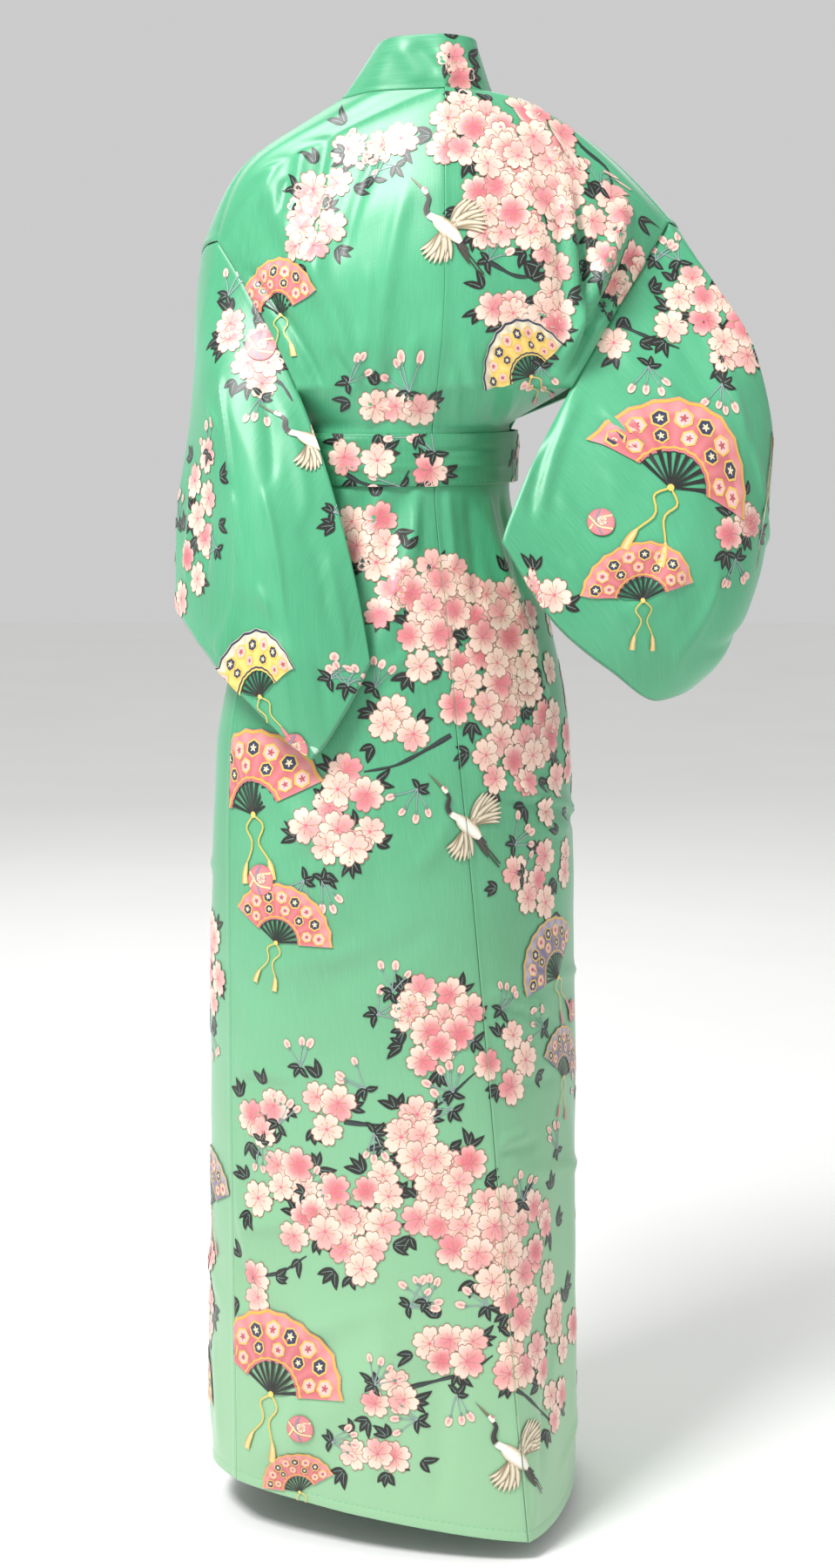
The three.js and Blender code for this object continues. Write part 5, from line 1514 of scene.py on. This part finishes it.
def addPrint(name):
    parts = printed[name]
    shift = np.cumsum([0] + [len(p["place"]) for p in parts])
    faces = np.concatenate([p["faces"] + s for p, s in zip(parts, shift)])
    place, lift, family, tone, ab = (np.concatenate([p[key] for p in parts]) for key in
                                     ("place", "lift", "ink", "tone", "ab"))
    skin, normal = onSkin(name, place[:, 0], place[:, 1])
    points = skin + normal * lift[:, None]
    outside = (place[:, 0] < 0) | (place[:, 0] > panels[name]["down"][-1])
    if not isRing(name):
        wide = np.interp(place[:, 0], panels[name]["down"], panels[name]["run"][:, -1])
        outside |= (place[:, 1] < 0) | (place[:, 1] > wide)
    faces = faces[~outside[faces].all(axis=1)]
    # faces that the edge has flattened are left out
    faces, area = turnedOut(points, normal, faces)
    faces = faces[area > 2e-3]
    used = np.unique(faces)
    renumber = np.zeros(len(points), int)
    renumber[used] = np.arange(len(used))
    faces, points, place = renumber[faces], points[used], place[used]
    family, tone, ab = family[used], tone[used], ab[used]
    # for the baked picture: tone runs along, and each ink has a band of its own
    palette = np.stack([0.04 + 0.88 * tone + 0.03 * ab[:, 0],
                        (family + 0.15 + 0.7 * ab[:, 1]) / len(inks)], -1)
    made = newMesh(f"{name}_print", points, faces, [cloth["ink"]], palette, "OFBake")
    own = made.data.uv_layers.new(name="cut")
    own.data.foreach_set("uv", (place[faces.ravel()][:, ::-1] * mm).astype(np.float32).ravel())
    colour = made.data.color_attributes.new("inkColour", "FLOAT_COLOR", "POINT")
    rgba = np.concatenate([inkColour(family, tone), np.ones((len(tone), 1))], 1)
    colour.data.foreach_set("color", rgba.astype(np.float32).ravel())
    print(name, "print has", 2 * len(faces), "triangles")
    return made


# Stitches: their sizes, and how far from an edge each kind of line runs
stitch = {
    "length": 3.6, "gap": 2.6, "width": 0.75, "height": 0.35,
    "cuff": 10, "band": 4.5, "belt": 3.6, "end": 4,
}


def addStitches(name, lines):
    # each stitch is a low dome, longer than wide. A line that runs along a row is given by its distance
    # down the panel and None, and one that runs down the panel by 0 and its distance along the rows
    places, angles = [], []
    panel = panels[name]
    pitch = stitch["length"] + stitch["gap"]
    for r, a in lines:
        if a is None:
            wide = np.interp(r, panel["down"], panel["run"][:, -1])
            at = np.arange(3, wide - 3, pitch)
            places.append(np.stack([r + 0 * at, at], -1))
            angles.append(np.zeros(len(at)))
        else:
            at = np.arange(3, panel["down"][-1] - 3, pitch)
            places.append(np.stack([at, a + 0 * at], -1))
            angles.append(np.ones(len(at)))
    places, angles = np.concatenate(places), np.concatenate(angles)
    u, w = np.meshgrid(np.linspace(-0.5, 0.5, 4), np.linspace(-0.5, 0.5, 3), indexing="ij")
    dome = np.clip(1 - (2 * u) ** 4, 0, 1) * np.clip(1 - (2 * w) ** 2, 0, 1)
    long, short = u * stitch["length"], w * stitch["width"] * (1 - 0.5 * (2 * u) ** 2)
    runsDown = angles[:, None, None] > 0
    r = places[:, 0, None, None] + np.where(runsDown, long, short)
    a = places[:, 1, None, None] + np.where(runsDown, short, long)
    skin, normal = onSkin(name, r.ravel(), a.ravel())
    lift = np.broadcast_to(stitch["height"] * dome - 0.05, r.shape).ravel()
    faces = (gridFaces(4, 3, 1)[None] + 12 * np.arange(len(places))[:, None, None]).reshape(-1, 4)
    points = skin + normal * lift[:, None]
    faces = turnedOut(points, normal, faces)[0]
    uv = np.stack([a.ravel(), r.ravel()], -1) * mm
    made = newMesh(f"{name}_stitches", points, faces, [threadMaterial], uv)
    return made


prints = {name: addPrint(name) for name in panels if printed[name]}
print("print made")

for name in ("back_left", "back_right", "front_left", "front_right", "overlap_left", "overlap_right"):
    addStitches(name, [(robe["hemTurn"], None)])
for name in ("sleeve_left", "sleeve_right"):
    addStitches(name, [(panels[name]["down"][-1] - stitch["cuff"], None)])
addStitches("collar", [(0, stitch["band"])])
beltTall = panels["belt"]["down"][-1]
addStitches("belt", [(stitch["belt"], None), (beltTall - stitch["belt"], None)])
for name in ("belt_end_left", "belt_end_right"):
    addStitches(name, [(stitch["end"], None)])
print("stitches made")

floorLevel, floorHalf = -1.424, 9      # metres
floor = bpy.data.meshes.new("paleFloor")
corners = [(x * floorHalf, y * floorHalf, floorLevel) for x, y in ((-1, -1), (1, -1), (1, 1), (-1, 1))]
floor.from_pydata(corners, [], [(0, 1, 2, 3)])
floorObject = bpy.data.objects.new("paleFloor", floor)
bpy.context.scene.collection.objects.link(floorObject)
# Matt white painted board
board = newMaterial("paintedBoard")
boardPlace = addNode(board, "TexCoord").outputs["Object"]
boardGrain = addNode(board, "TexNoise", {"Vector": boardPlace, "Scale": 3.0}).outputs["Fac"]
boardBump = addNode(board, "Bump", {"Height": boardGrain, "Distance": 0.0002})
boardColour = blendColours(board, boardGrain, linear("#F4F4F2"), linear("#FAFAF9"))
finishMaterial(board, boardColour, boardBump.outputs["Normal"], 0.8, 0)
floor.materials.append(board)

worldStrength = 0.6
lightTarget = (0.0, 0.0, -0.55)
# watts, place and width in metres
lights = {
    "key": (150, (1.5, 1.7, 2.3), 1.1),
    "fill": (7, (-2.6, 2.2, 0.2), 2.4),
    "front": (26, (0.6, -3.0, 1.2), 2.2),
}
world = bpy.data.worlds.new("paleRoom")
bpy.context.scene.world = world
world.use_nodes = True
world.node_tree.nodes["Background"].inputs["Color"].default_value = (1, 1, 1, 1)
world.node_tree.nodes["Background"].inputs["Strength"].default_value = worldStrength


def addLight(name):
    lamp = bpy.data.lights.new(name, "AREA")
    lamp.energy, place, lamp.size = lights[name]
    made = bpy.data.objects.new(name, lamp)
    made.location = place
    away = Vector(lightTarget) - Vector(place)
    made.rotation_euler = away.to_track_quat("-Z", "Y").to_euler()
    bpy.context.scene.collection.objects.link(made)


for name in lights:
    addLight(name)

sensor = 36.0
lens = bpy.data.cameras.new("photoView")
lens.sensor_fit = "VERTICAL"
lens.sensor_height = sensor
lens.lens = camera["focus"] / camera["tall"] * sensor
view = bpy.data.objects.new("photoView", lens)
view.location = np.array(camera["place"]) * mm
view.rotation_euler = (np.radians(90 - camera["pitch"]), 0, np.pi)
bpy.context.scene.collection.objects.link(view)
bpy.context.scene.camera = view
bpy.context.scene.view_settings.view_transform = "Standard"
print("stage, lights and camera set")
